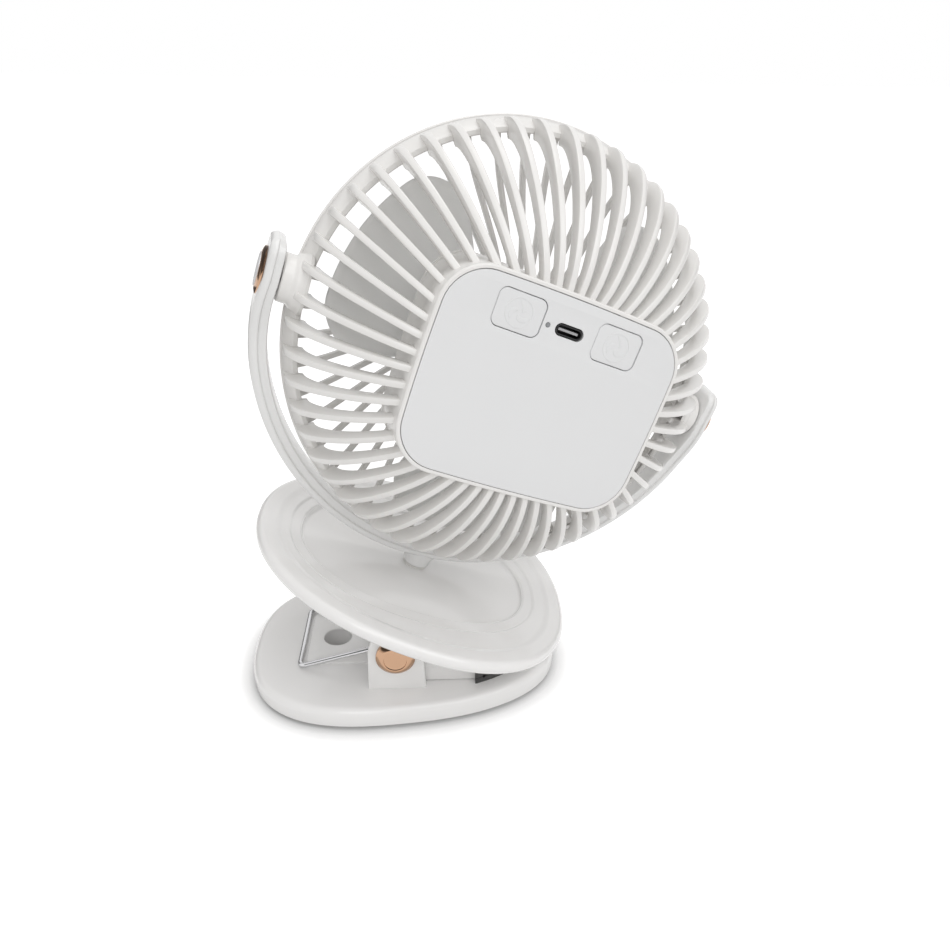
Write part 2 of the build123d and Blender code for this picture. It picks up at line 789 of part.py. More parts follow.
def trunnion_boss_end():
    """Reach of the head's bosses from the middle, just inside the friction washers."""
    return yoke_inner_radius - 2 * seat_gap - trunnion_washer_thickness


# ---- fan head ----
def rib_profile():
    """A rear rib in radius and depth: it leaves the band and sweeps to the housing in one curve."""
    outer = head_radius - rib_root_inset
    inner = outer - rib_depth - root_extra_depth
    inside = panel_height / 2 - panel_bulge
    crown_inner = crown_depth + rib_depth
    root = band_front - seat_gap
    in_band = head_radius - band_wall / 2
    return make_face([
        Line((outer, root), (outer, band_rear)),
        Bezier(
            (outer, band_rear), (outer, band_rear - shoulder_reach),
            (inside + crown_reach, crown_depth), (inside, crown_depth),
        ),
        Line((inside, crown_depth), (inside, crown_inner)),
        Bezier(
            (inside, crown_inner), (inside + crown_reach - rib_depth / 2, crown_inner),
            (inner, band_rear - shoulder_reach + rib_depth / 2), (inner, band_rear),
        ),
        Line((inner, band_rear), (in_band, band_rear / 2)),
        Line((in_band, band_rear / 2), (in_band, root)),
        Line((in_band, root), (outer, root)),
    ])


def band_bore():
    """Hollow of the band: a bore for the front ring's spigot, a ledge and a cone behind it."""
    bore = head_radius - band_wall
    ledge = band_front - spigot_depth - running_gap
    profile = make_face(Polyline(
        (0, band_front + 1), (bore, band_front + 1), (bore, ledge), (bore - spigot_ledge, ledge),
        (bore - band_lean + running_gap, band_rear), (bore - band_lean, -head_radius),
        (0, -head_radius), (0, band_front + 1),
    ))
    return revolve(profile, Axis.Y)


def band_body():
    """The band's outside: upright at the seam, then leaning in towards the rear."""
    profile = make_face(Polyline(
        (0, band_front), (head_radius, band_front), (head_radius, band_front - band_straight),
        (head_radius - band_lean, band_rear), (0, band_rear), (0, band_front),
    ))
    return revolve(profile, Axis.Y)


def rear_grille():
    """One moulding: band, 52 radial blade ribs, the control housing and two trunnion bosses."""
    bore = band_bore()
    band = band_body() - bore
    housing = slab(panel_outline(bezel_width), panel_face, housing_front)
    housing = fillet(housing.edges().group_by(Axis.Y)[0], bezel_width / 2)
    rib = extrude(rib_profile(), amount=rib_thickness / 2, both=True)
    ribs = [Rot(0, 360 * step / rib_count, 0) * rib for step in range(rib_count)]
    bosses = []
    for side in (-1, 1):
        boss = bar_along_x(
            trunnion_boss_radius, side * (head_radius - 3 * band_wall), side * trunnion_boss_end()
        )
        boss = Pos(0, 0, trunnion_above_center) * boss - bore
        boss -= slab(Circle(head_radius + running_gap), band_front, head_radius)
        bosses.append(boss)
    body = band.fuse(housing, *ribs, *bosses)
    ledge_depth = panel_face + panel_thickness
    body -= slab(panel_outline(panel_gap), panel_face - 1, ledge_depth)
    body -= slab(panel_outline(-housing_ledge), panel_face, housing_front + 1)
    for side in (-1, 1):
        hole = bar_along_x(
            trunnion_thread_diameter / 2 + pin_clearance / 2,
            side * head_radius / 2, side * 2 * head_radius,
        )
        body -= Pos(0, 0, trunnion_above_center) * hole
    return head_frame * (body + housing_posts())


def front_dome(rise, grow):
    """Solid cap in front of the band; grow moves its face forward."""
    base_radius = head_radius - band_wall
    sphere_radius = (base_radius ** 2 + rise ** 2) / (2 * rise)
    center_y = front_lip - 1.0 + rise - sphere_radius
    ball = Pos(0, center_y, 0) * Sphere(sphere_radius + grow)
    return ball & slab(Circle(base_radius + 1), front_lip - ring_bridge, front_lip + 2 * rise)


def front_grille():
    """Front guard: a ring with a spigot, a centre disc and spiral ribs on a shallow dome."""
    ring = Circle(head_radius) - Circle(head_radius - band_wall)
    ring = slab(ring, band_front + seat_gap, front_lip)
    ring = fillet(ring.edges().group_by(Axis.Y)[-1].sort_by(lambda edge: edge.radius)[-1], 1.2)
    inner = head_radius - band_wall - panel_gap
    spigot = slab(Circle(inner) - Circle(inner - spigot_wall), band_front - spigot_depth, front_lip)
    shell = front_dome(front_dome_rise, 0) - front_dome(front_dome_rise, -front_rib_depth)
    ribs = slab(front_rib_plan(), front_lip - ring_bridge, front_lip + 2 * front_dome_rise)
    disc = slab(Circle(front_disc_radius), front_lip, front_lip + 2 * front_dome_rise)
    bridge = Circle(head_radius - band_wall / 2) - Circle(inner - spigot_wall)
    bridge = slab(bridge, front_lip - ring_bridge, front_lip)
    return head_frame * (ring + spigot + bridge + (shell & (ribs + disc)))


def front_rib_plan():
    """Plan of all spiral ribs: each a strip between two arcs from the disc to the ring."""
    inner, outer = front_disc_radius - 1, head_radius - band_wall

    def spiral(share, offset):
        angle = radians(front_rib_sweep * share ** 1.2)
        radius = inner + (outer - inner) * share
        return radius * cos(angle) - offset * sin(angle), radius * sin(angle) + offset * cos(angle)

    half = front_rib_thickness / 2
    edges = []
    for side in (-1, 1):
        points = [spiral(share, side * half) for share in (0, 0.5, 1)]
        edges.append(ThreePointArc(*points))
    edges.append(Line(edges[0] @ 0, edges[1] @ 0))
    edges.append(Line(edges[0] @ 1, edges[1] @ 1))
    strip = make_face(edges)
    return Sketch() + [
        Rot(0, 0, 360 * step / front_rib_count) * strip for step in range(front_rib_count)
    ]


# ---- control panel ----
def button_outline(grow=0.0):
    """Rounded rectangle of a button, grown by a margin."""
    return RectangleRounded(
        button_width + 2 * grow, button_height + 2 * grow, button_corner + grow
    )


def port_outline(width, height):
    """Pill shape of the charging port at its place."""
    return Pos(port_x, port_z) * RectangleRounded(width, height, height / 2 - 0.01)


def rear_panel():
    """Panel plate with two button windows, the port and the light's hole."""
    plate = slab(panel_outline(), panel_face, panel_face + panel_thickness - seat_gap)
    cuts = Pos(-button_x, button_z) * button_outline(panel_gap)
    cuts += Pos(button_x, button_z) * button_outline(panel_gap)
    cuts += port_outline(port_width, port_height)
    cuts += Pos(led_x, port_z) * Circle(led_diameter / 2 + seat_gap)
    return head_frame * (plate - slab(cuts, panel_face - 1, panel_face + panel_thickness))


def button(side):
    """Push button with a flange behind the panel and a stem towards its switch."""
    face = panel_face + 0.25
    behind = panel_face + panel_thickness + panel_gap
    cap = slab(button_outline(), face, behind + button_flange_thickness)
    cap = fillet(cap.edges().group_by(Axis.Y)[0], 0.4)
    flange = slab(button_outline(button_flange), behind, behind + button_flange_thickness)
    stem_end = switch_rear() - running_gap / 2 - button_travel
    stem = slab(Circle(1.5), behind, stem_end)
    return head_frame * Pos(side * button_x, 0, button_z) * (cap + flange + stem)


def switch_rear():
    """Depth of the switch plunger's face, towards the panel."""
    return board_rear - switch_body - 0.5


def power_button():
    """Left button seen from behind."""
    return button(-1)


def speed_button():
    """Right button seen from behind."""
    return button(1)


def tact_switches():
    """One push switch behind each button, on the board."""
    body = slab(Rectangle(switch_size, switch_size), board_rear - switch_body, board_rear)
    plunger = slab(Circle(1.6), switch_rear(), board_rear)
    switch = body + plunger
    return Compound(children=[
        head_frame * Pos(side * button_x, -seat_gap, button_z) * switch for side in (-1, 1)
    ])


def circuit_board():
    """Board that carries the port, the switches and the light."""
    outline = Pos(panel_center_x, board_center_z) * RectangleRounded(board_width, board_height, 4)
    for place in four(lambda x, z: Pos(panel_center_x + x, panel_center_z + z),
                      mount_screw_x, mount_screw_z):
        outline -= place * Circle(screw_boss_radius + panel_gap)
    return head_frame * slab(outline, board_rear, board_rear + board_thickness)


def usb_c_shell():
    """Pill-shaped metal shell of the charging port, closed on the board."""
    face = panel_face + 0.4
    outer = port_outline(port_shell_width, port_shell_height)
    wall = 2 * port_shell_wall
    inner = port_outline(port_shell_width - wall, port_shell_height - wall)
    shell = slab(outer, face, board_rear - seat_gap)
    return head_frame * (shell - slab(inner, face - 1, board_rear - 0.8))


def usb_c_tongue():
    """Contact tongue inside the port."""
    outline = Pos(port_x, port_z) * Rectangle(port_tongue_width, port_tongue_thickness)
    return head_frame * slab(outline, panel_face + 1.2, board_rear - 0.8 - seat_gap)


def led_light_pipe():
    """Clear rod that brings the charging light to the panel."""
    outline = Pos(led_x, port_z) * Circle(led_diameter / 2 - seat_gap)
    return head_frame * slab(outline, panel_face, board_rear - seat_gap)


def battery_cell():
    """Cylindrical cell across the housing, below the board and behind the motor mount."""
    radius = battery_diameter / 2
    center_y = housing_front - running_gap - radius
    cell = bar_along_x(radius, -battery_length / 2, battery_length / 2)
    cell = fillet(cell.edges(), 0.8)
    end = battery_length / 2
    cell += bar_along_x(battery_cap_diameter / 2, end - 1, end + battery_cap_height)
    return head_frame * Pos(panel_center_x, center_y, battery_center_z) * cell


# ---- motor and impeller ----
def motor_mount():
    """Front cover of the housing with the cup that holds the motor and four screw holes."""
    plate = slab(
        panel_outline(bezel_width), housing_front + seat_gap, housing_front + seat_gap + mount_plate
    )
    inner = motor_diameter / 2 + pin_clearance
    cup = bar_along_y(inner + mount_cup_wall, housing_front + mount_plate, mount_cup_front)
    body = plate + cup
    body -= bar_along_y(inner, motor_rear() - seat_gap, 0)
    for place in four(lambda x, z: Pos(panel_center_x + x, 0, panel_center_z + z),
                      mount_screw_x, mount_screw_z):
        hole = small_screw_diameter / 2 + screw_clearance
        body -= place * bar_along_y(hole, housing_front - 1, mount_cup_front)
    return head_frame * body


def motor_rear():
    """Depth of the motor's back, on the mount's plate."""
    return housing_front + mount_plate / 2 + seat_gap


def motor():
    """Flat motor with a nose round its shaft."""
    body = bar_along_y(motor_diameter / 2, motor_rear(), motor_front)
    body = fillet(body.edges().group_by(Axis.Y)[-1], 0.8)
    body += bar_along_y(motor_nose_radius, motor_front - 1, motor_front + motor_nose_height)
    bore = bar_along_y(shaft_diameter / 2 + pin_clearance, motor_front - 4, 0)
    return head_frame * (body - bore)


def mount_screws():
    """Four screws that hold the motor mount to the housing's corner posts."""
    front = housing_front + mount_plate + 2 * seat_gap
    screw = Pos(0, front, 0) * Rot(90, 0, 0) * small_screw(small_screw_length)
    return Compound(children=[
        head_frame * place * screw
        for place in four(lambda x, z: Pos(panel_center_x + x, 0, panel_center_z + z),
                          mount_screw_x, mount_screw_z)
    ])


def housing_posts():
    """Four posts from the panel's back to the mount, on which both are held."""
    rear = panel_face + panel_thickness + seat_gap
    posts = []
    for place in four(lambda x, z: Pos(panel_center_x + x, 0, panel_center_z + z),
                      mount_screw_x, mount_screw_z):
        post = bar_along_y(screw_boss_radius, rear, housing_front)
        bore = small_screw_diameter / 2 + pin_clearance
        post -= bar_along_y(bore, housing_front - small_screw_length - 1, housing_front + 1)
        posts.append(place * post)
    return posts


def motor_shaft():
    """Steel shaft from the motor into the hub."""
    return head_frame * bar_along_y(shaft_diameter / 2, motor_front - 3.5, shaft_front)


def blade():
    """One wide blade about +X: a thin twisted sheet cut to the blade's rounded plan."""
    sections = []
    for reach in (hub_outer_radius * 0.6, blade_tip_radius * 0.6, blade_tip_radius + 2):
        half = blade_tip_radius * sin(radians(blade_span_angle / 2)) + 3
        rise = blade_pitch * atan2(half, reach) / (2 * pi)
        bow = blade_pitch * atan2(half / 2, reach) / (2 * pi)
        lower = [(-half, -rise), (-half / 2, -bow), (0, 0), (half / 2, bow), (half, rise)]
        upper = [(z, y + blade_thickness) for z, y in lower]
        face = make_face([
            Spline(*lower), Line(lower[-1], upper[-1]),
            Spline(*reversed(upper)), Line(upper[0], lower[0]),
        ])
        sections.append(Plane((reach, 0, 0), x_dir=(0, 0, 1), z_dir=(1, 0, 0)) * face)
    sheet = loft(sections)
    return sheet & slab(blade_plan(), -head_radius / 2, head_radius / 2)


def blade_plan():
    """Plan of one blade about +X: root on the hub, bowed sides, a round tip."""
    root = hub_outer_radius - hub_wall / 2

    def at(radius, angle):
        return radius * cos(radians(angle)), radius * sin(radians(angle))

    low, high = -blade_root_angle / 2, blade_root_angle / 2
    tip_low, tip_high = -blade_span_angle / 2, blade_span_angle / 2
    middle = (root + blade_tip_radius) / 2
    face = make_face([
        Line(at(root, low), at(root, high)),
        ThreePointArc(at(root, high), at(middle, high + 9), at(blade_tip_radius, tip_high)),
        ThreePointArc(
            at(blade_tip_radius, tip_high), at(blade_tip_radius, 0), at(blade_tip_radius, tip_low)
        ),
        ThreePointArc(at(blade_tip_radius, tip_low), at(middle, low - 9), at(root, low)),
    ])
    corners = face.vertices().sort_by(Axis.X)[-2:]
    return fillet(corners, blade_tip_corner)


def impeller():
    """Hub cup with three wide twisted blades."""
    hub = bar_along_y(hub_outer_radius, hub_rear, hub_front)
    hub = fillet(hub.edges().group_by(Axis.Y)[-1], hub_nose_radius)
    hub -= bar_along_y(hub_outer_radius - hub_wall, hub_rear - 1, hub_front - hub_wall)
    hub += bar_along_y(hub_boss_radius, motor_front + motor_nose_height + 1, hub_front - 1)
    blades = []
    for step in range(blade_count):
        angle = blade_first_angle + 360 * step / blade_count
        blades.append(Rot(0, -angle, 0) * Pos(0, blade_plane, 0) * blade())
    body = hub.fuse(*blades)
    hollow_end = motor_front + motor_nose_height + 1
    body -= bar_along_y(hub_outer_radius - hub_wall, hub_rear - 1, hollow_end)
    body -= bar_along_y(shaft_diameter / 2 + pin_clearance / 2, hub_rear - 1, shaft_front + 0.2)
    return head_frame * body


NODES = [
    base_shell, base_cover, base_screws, lower_jaw_pad, hinge_pin, hinge_cap_near, hinge_cap_far,
    torsion_spring, dish, jaw_underbody, upper_jaw_pad, jaw_screws, swivel_washer, yoke,
    swivel_screw, trunnion_cap_left, trunnion_cap_right, trunnion_washers, trunnion_pins,
    rear_grille, front_grille, rear_panel, power_button, speed_button, tact_switches,
    circuit_board, usb_c_shell, usb_c_tongue, led_light_pipe, battery_cell, motor_mount,
    motor, mount_screws, motor_shaft, impeller,
]

for make in NODES:
    export_step(make(), f"parts/{make.__name__}.step")
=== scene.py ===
"""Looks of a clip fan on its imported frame: meshes, finishes, studio and camera.

Lengths are millimetres in each sub-assembly's own axes, unless a name says metres.
"""

import json
import logging
from collections.abc import Callable, Sequence
from dataclasses import dataclass, field
from enum import Enum
from math import atan2, cos, pi, radians, sin, sqrt, tau

import bmesh
import bpy
from mathutils import Matrix, Vector


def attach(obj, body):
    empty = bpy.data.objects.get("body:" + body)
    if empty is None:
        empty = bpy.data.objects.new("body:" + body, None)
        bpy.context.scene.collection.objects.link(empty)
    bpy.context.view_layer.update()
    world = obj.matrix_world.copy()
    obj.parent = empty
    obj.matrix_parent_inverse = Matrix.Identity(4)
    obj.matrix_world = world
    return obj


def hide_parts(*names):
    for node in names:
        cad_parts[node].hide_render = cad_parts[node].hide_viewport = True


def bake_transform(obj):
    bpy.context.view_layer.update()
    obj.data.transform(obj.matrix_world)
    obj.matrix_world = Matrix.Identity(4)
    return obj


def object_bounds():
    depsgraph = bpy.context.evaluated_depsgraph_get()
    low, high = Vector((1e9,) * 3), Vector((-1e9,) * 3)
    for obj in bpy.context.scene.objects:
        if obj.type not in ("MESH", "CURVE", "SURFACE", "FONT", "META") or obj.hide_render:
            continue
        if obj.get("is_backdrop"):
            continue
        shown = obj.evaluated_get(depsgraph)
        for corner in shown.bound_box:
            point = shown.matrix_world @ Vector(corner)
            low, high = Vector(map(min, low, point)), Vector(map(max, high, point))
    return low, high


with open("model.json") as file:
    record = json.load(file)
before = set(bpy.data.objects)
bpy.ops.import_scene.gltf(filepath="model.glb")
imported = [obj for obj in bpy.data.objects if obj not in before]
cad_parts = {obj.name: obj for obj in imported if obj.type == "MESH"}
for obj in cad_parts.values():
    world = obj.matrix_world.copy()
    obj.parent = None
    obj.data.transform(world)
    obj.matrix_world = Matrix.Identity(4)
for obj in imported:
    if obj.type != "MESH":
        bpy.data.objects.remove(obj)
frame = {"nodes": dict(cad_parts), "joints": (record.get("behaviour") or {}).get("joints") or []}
log = logging.getLogger("clip_fan")

METRES = 0.001  # in a millimetre
ROUND_STEPS = 144  # points of a ring
SHARP_DEGREES = 38.0  # a crease is sharper than this
SEAM = 1e-4  # points this close are one, in millimetres

Ring = list[Vector]


# ---- drawing ----
@dataclass
class Surface:
    """Points and faces of one piece while it is being drawn."""

    points: list[Vector] = field(default_factory=list)
    faces: list[tuple[int, ...]] = field(default_factory=list)

    def skin(
        self,
        rings: Sequence[Sequence[Vector]],
        closed: bool = True,
        tube: bool = False,
        caps: bool = False,
    ) -> None:
        """Joins rings of equal length with faces.

        Args:
            rings: Rows of points, in order.
            closed: Each row is a loop.
            tube: The last row joins the first.
            caps: The first and last rows are filled.
        """
        start, across, rows = len(self.points), len(rings[0]), len(rings)
        for ring in rings:
            self.points.extend(Vector(point) for point in ring)
        for row in range(rows if tube else rows - 1):
            here = start + row * across
            there = start + (row + 1) % rows * across
            for step in range(across if closed else across - 1):
                after = (step + 1) % across
                self.faces.append((here + step, here + after, there + after, there + step))
        if caps:
            last = start + (rows - 1) * across
            self.faces.append(tuple(range(start + across - 1, start - 1, -1)))
            self.faces.append(tuple(range(last, last + across)))

    def mesh(self, name: str) -> bpy.types.Mesh:
        """What was drawn, as a mesh in the drawing's axes.

        Args:
            name: The mesh's name.

        Returns:
            A new mesh that no object uses yet.
        """
        mesh = bpy.data.meshes.new(name)
        mesh.from_pydata(self.points, [], self.faces)
        return mesh


def skinned(
    rings: Sequence[Sequence[Vector]], tube: bool = False, caps: bool = False
) -> Surface:
    """A surface over one set of rings, joined as Surface.skin does.

    Args:
        rings: Rows of points, in order.
        tube: The last row joins the first.
        caps: The first and last rows are filled.

    Returns:
        The new surface.
    """
    surface = Surface()
    surface.skin(rings, tube=tube, caps=caps)
    return surface


def as_piece(mesh: bpy.types.Mesh, name: str, axes: Matrix, look: "Look") -> bpy.types.Object:
    """Closes a mesh's seams, turns its faces out and places it.

    Args:
        mesh: A mesh in the drawing's axes.
        name: The piece's name.
        axes: From the drawing's axes to the shared frame.
        look: The piece's finish.

    Returns:
        The new object, smooth with sharp creases.
    """
    shell = bmesh.new()
    shell.from_mesh(mesh)
    bmesh.ops.remove_doubles(shell, verts=shell.verts, dist=SEAM)
    bmesh.ops.recalc_face_normals(shell, faces=shell.faces)
    shell.to_mesh(mesh)
    shell.free()
    mesh.transform(axes)
    for polygon in mesh.polygons:
        polygon.use_smooth = True
    mesh.set_sharp_from_angle(angle=radians(SHARP_DEGREES))
    mesh.materials.clear()
    mesh.materials.append(look.material)
    piece = bpy.data.objects.new(name, mesh)
    bpy.context.scene.collection.objects.link(piece)
    return piece


def plain_mesh(source: bpy.types.Object) -> bpy.types.Mesh:
    """The evaluated mesh of an object, which is then removed.

    Args:
        source: An object with its modifiers.

    Returns:
        A new mesh with what the modifiers made.
    """
    graph = bpy.context.evaluated_depsgraph_get()
    mesh = bpy.data.meshes.new_from_object(source.evaluated_get(graph), depsgraph=graph)
    bpy.data.objects.remove(source)
    return mesh


def circle(radius: float, height: float, center_x: float = 0.0) -> Ring:
    """A ring of points about Z at one height."""
    turns = [tau * step / ROUND_STEPS for step in range(ROUND_STEPS)]
    return [Vector((center_x + radius * cos(t), radius * sin(t), height)) for t in turns]


def oval(length: float, width: float, power: float, taper: float, height: float) -> Ring:
    """A squared ellipse that narrows towards +X by taper, at one height.

    Args:
        length: Its size along X.
        width: Its size along Y.
        power: 2 is an ellipse, more is squarer.
        taper: Share by which it is narrower at its +X end.
        height: Its place along Z.

    Returns:
        The ring, anticlockwise from +X.
    """
    ring = []
    for step in range(ROUND_STEPS):
        t = tau * step / ROUND_STEPS
        across = abs(cos(t) / (length / 2)) ** power + abs(sin(t) / (width / 2)) ** power
        reach = across ** (-1 / power)
        x = reach * cos(t)
        ring.append(Vector((x, reach * sin(t) * (1 - taper * x / (length / 2)), height)))
    return ring


def arc(center: tuple[float, float], radius: float, start: float, end: float,
        steps: int = 8) -> list[tuple[float, float]]:
    """Points on an arc between two angles in degrees."""
    turns = [radians(start + (end - start) * step / steps) for step in range(steps + 1)]
    return [(center[0] + radius * cos(t), center[1] + radius * sin(t)) for t in turns]


def bezier(points: Sequence[tuple[float, float]], share: float) -> tuple[float, float]:
    """A point on a cubic curve with four control points.

    Args:
        points: The control points, in order.
        share: How far along the curve, 0 to 1.

    Returns:
        The point.
    """
    rest = 1 - share
    weights = (rest ** 3, 3 * rest * rest * share, 3 * rest * share * share, share ** 3)
    return (sum(w * point[0] for w, point in zip(weights, points)),
            sum(w * point[1] for w, point in zip(weights, points)))


def turned(
    profile: Sequence[tuple[float, float]], place: Callable[[float, float, float], Vector],
    steps: int = 96, tube: bool = False,
) -> Surface:
    """Spins a profile of radius and height.

    Args:
        profile: Radius and height of each row.
        place: Puts cosine part, sine part and height on the drawing's axes.
        steps: Points round each row.
        tube: The profile is a loop.

    Returns:
        The spun surface.
    """
    turns = [tau * step / steps for step in range(steps)]
    rings = [[place(radius * cos(t), radius * sin(t), height) for t in turns]
             for radius, height in profile]
    return skinned(rings, tube=tube)


def swelling_cap(
    radius: float, face: float, height: float, floor: float
) -> list[tuple[float, float]]:
    """Profile of a cap that swells to a face which is sunk a little.

    Args:
        radius: Radius of the foot.
        face: Radius of the rim round the face.
        height: Height of that rim.
        floor: Height of the face.

    Returns:
        Radius and height of each row, from the foot's centre to the face's.
    """
    foot_edge, rim, shoulder = 0.2, 0.5, 0.55 * height
    steps, fullness = 8, 0.9
    profile = [(0.0, 0.0), (radius - foot_edge, 0.0), (radius, foot_edge)]
    profile += arc((radius - rim, shoulder - rim), rim, 0, 60, 5)
    start_radius, start_height = profile[-1]
    for step in range(1, steps + 1):
        share = step / steps
        swell = sin(pi / 2 * share) ** fullness
        profile.append((start_radius + (face - start_radius) * share,
                        start_height + (height - start_height) * swell))
    profile += [(face - 0.25, height - 0.05), (face - 0.35, floor), (face - 0.7, floor - 0.08),
                (face * 0.5, floor - 0.05), (0.0, floor - 0.05)]
    return profile


def along_y(x: float, z: float, depth: float) -> Vector:
    """Axis of spin is Y."""
    return Vector((x, depth, z))


def along_x(y: float, z: float, reach: float) -> Vector:
    """Axis of spin is X."""
    return Vector((reach, y, z))


def soft_plate(
    name: str, outlines: Sequence[Sequence[tuple[float, float]]], rear: float, front: float,
    edge: float,
) -> bpy.types.Mesh:
    """A plate drawn in X and Z, with openings and softened edges.

    Args:
        name: The plate's name.
        outlines: The rim and its openings.
        rear: Depth of the face at -Y.
        front: Depth of the other face.
        edge: Radius of the edges.

    Returns:
        The plate's mesh.
    """
    curve = bpy.data.curves.new(name, "CURVE")
    curve.dimensions = "2D"
    curve.fill_mode = "BOTH"
    curve.extrude = (front - rear) / 2 - edge
    curve.bevel_depth = edge
    curve.bevel_resolution = 3
    curve.offset = -edge
    for outline in outlines:
        spline = curve.splines.new("POLY")
        spline.points.add(len(outline) - 1)
        spline.use_cyclic_u = True
        for point, (x, z) in zip(spline.points, outline):
            point.co = (x, z, 0, 1)
    drawn = bpy.data.objects.new(name + "_drawn", curve)
    bpy.context.scene.collection.objects.link(drawn)
    mesh = plain_mesh(drawn)
    mesh.transform(Matrix.Translation((0, (rear + front) / 2, 0)) @ Matrix.Rotation(pi / 2, 4, "X"))
    return mesh


def rounded_box(width: float, height: float, corner: float, center: tuple[float, float] = (0, 0),
                steps: int = 10) -> list[tuple[float, float]]:
    """Outline of a rectangle with round corners and evenly divided sides.

    Args:
        width: Its size along the first axis.
        height: Its size along the second axis.
        corner: Radius of the corners.
        center: Its middle.
        steps: Parts of each corner and of each side.

    Returns:
        The outline's points, anticlockwise.
    """
    x, z = width / 2 - corner, height / 2 - corner
    outline: list[tuple[float, float]] = []
    for turn, (cx, cz) in enumerate(((x, z), (-x, z), (-x, -z), (x, -z))):
        outline += arc((cx, cz), corner, 90 * turn, 90 * turn + 90, steps)
        nx, nz = ((-x, z), (-x, -z), (x, -z), (x, z))[turn]
        first = outline[-1]
        last = arc((nx, nz), corner, 90 * turn + 90, 90 * turn + 90, 1)[0]
        for step in range(1, steps):
            share = step / steps
            outline.append((first[0] + (last[0] - first[0]) * share,
                            first[1] + (last[1] - first[1]) * share))
    return [(px + center[0], pz + center[1]) for px, pz in outline]


# ---- frames ----
@dataclass(frozen=True)
class Pivot:
    """A joint's point and axis in the shared frame, in metres."""

    point: Vector
    axis: Vector

    @classmethod
    def of(cls, joint: str) -> "Pivot":
        """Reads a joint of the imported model."""
        row = next(row for row in frame["joints"] if row["name"] == joint)
        return cls(Vector(row["pos_m"]), Vector(row["axis"]).normalized())


def axes_at(origin: Vector, x: Vector, z: Vector) -> Matrix:
    """Millimetre axes with a given origin in metres, X and Z.

    Args:
        origin: Where the axes meet.
        x: Direction of X.
        z: Direction of Z.

    Returns:
        From these axes to the shared frame.
    """
    matrix = Matrix((x, z.cross(x), z)).transposed().to_4x4()
    matrix.translation = origin
    return matrix @ Matrix.Scale(METRES, 4)


class Axes(Enum):
    """The drawing axes of the sub-assemblies, as the joints give them."""

    CLIP = "clip"
    HINGE = "hinge"
    DISH = "dish"
    YOKE = "yoke"
    HEAD = "head"

    def matrix(self) -> Matrix:
        """From these axes to the shared frame.

        Returns:
            A transform from millimetres to metres.
        """
        right, up = Vector((1, 0, 0)), Vector((0, 0, 1))
        swivel, tilt = Pivot.of("yoke_swivel"), Pivot.of("head_tilt")
        spin = Pivot.of("impeller_spin")
        if self is Axes.CLIP:
            return axes_at(Vector(), right, up)
        if self is Axes.HINGE:
            return axes_at(Pivot.of("jaw_hinge").point, right, up)
        if self is Axes.DISH:
            return axes_at(swivel.point, Vector((0, 1, 0)).cross(swivel.axis), swivel.axis)
        if self is Axes.YOKE:
            return axes_at(tilt.point, tilt.axis, swivel.axis)
        return axes_at(spin.point, tilt.axis, tilt.axis.cross(-spin.axis))


# ---- finishes ----
class NodeBoard:
    """A material's or group's nodes, added and joined by name."""

    def __init__(self, tree: bpy.types.NodeTree) -> None:
        """Keeps the tree that nodes are added to."""
        self.tree = tree

    def add(self, kind: str, **settings: object) -> bpy.types.Node:
        """Adds a node.

        Args:
            kind: Blender's node type.
            settings: Properties, and socket values under the socket's name with _ for spaces.

        Returns:
            The node.
        """
        node = self.tree.nodes.new(kind)
        for key, value in settings.items():
            if hasattr(node, key):
                setattr(node, key, value)
            else:
                node.inputs[key.replace("_", " ")].default_value = value
        return node

    def join(self, source: bpy.types.NodeSocket, target: bpy.types.NodeSocket) -> None:
        """Links an output to an input."""
        self.tree.links.new(source, target)

    def ramp(
        self, value: bpy.types.NodeSocket, source: tuple[float, float],
        target: tuple[float, float] = (0.0, 1.0), kind: str = "SMOOTHSTEP",
    ) -> bpy.types.NodeSocket:
        """Maps one range of values onto another.

        Args:
            value: What is mapped.
            source: Where the range starts and ends.
            target: What start and end become.
            kind: Blender's interpolation.

        Returns:
            The mapped value.
        """
        node = self.add("ShaderNodeMapRange", interpolation_type=kind, From_Min=source[0],
                        From_Max=source[1], To_Min=target[0], To_Max=target[1])
        self.join(value, node.inputs["Value"])
        return node.outputs["Result"]

    def rays(self) -> tuple[bpy.types.NodeSocket, bpy.types.NodeSocket]:
        """1 for camera, glossy and transmission rays, and 1 for glossy rays alone.

        Returns:
            The two sockets, in that order.
        """
        path = self.add("ShaderNodeLightPath")
        glossy = path.outputs["Is Glossy Ray"]
        seen = self.math("MAXIMUM", path.outputs["Is Camera Ray"], glossy)
        return self.math("MAXIMUM", seen, path.outputs["Is Transmission Ray"]), glossy

    def math(self, operation: str, first: object, second: object) -> bpy.types.NodeSocket:
        """The output of an operation on two sockets or numbers.

        Args:
            operation: The node's operation.
            first: A socket or a number.
            second: A socket or a number.

        Returns:
            The node's output.
        """
        node = self.add("ShaderNodeMath", operation=operation)
        for socket, value in zip(node.inputs, (first, second)):
            if isinstance(value, (int, float)):
                socket.default_value = value
            else:
                self.join(value, socket)
        return node.outputs[0]


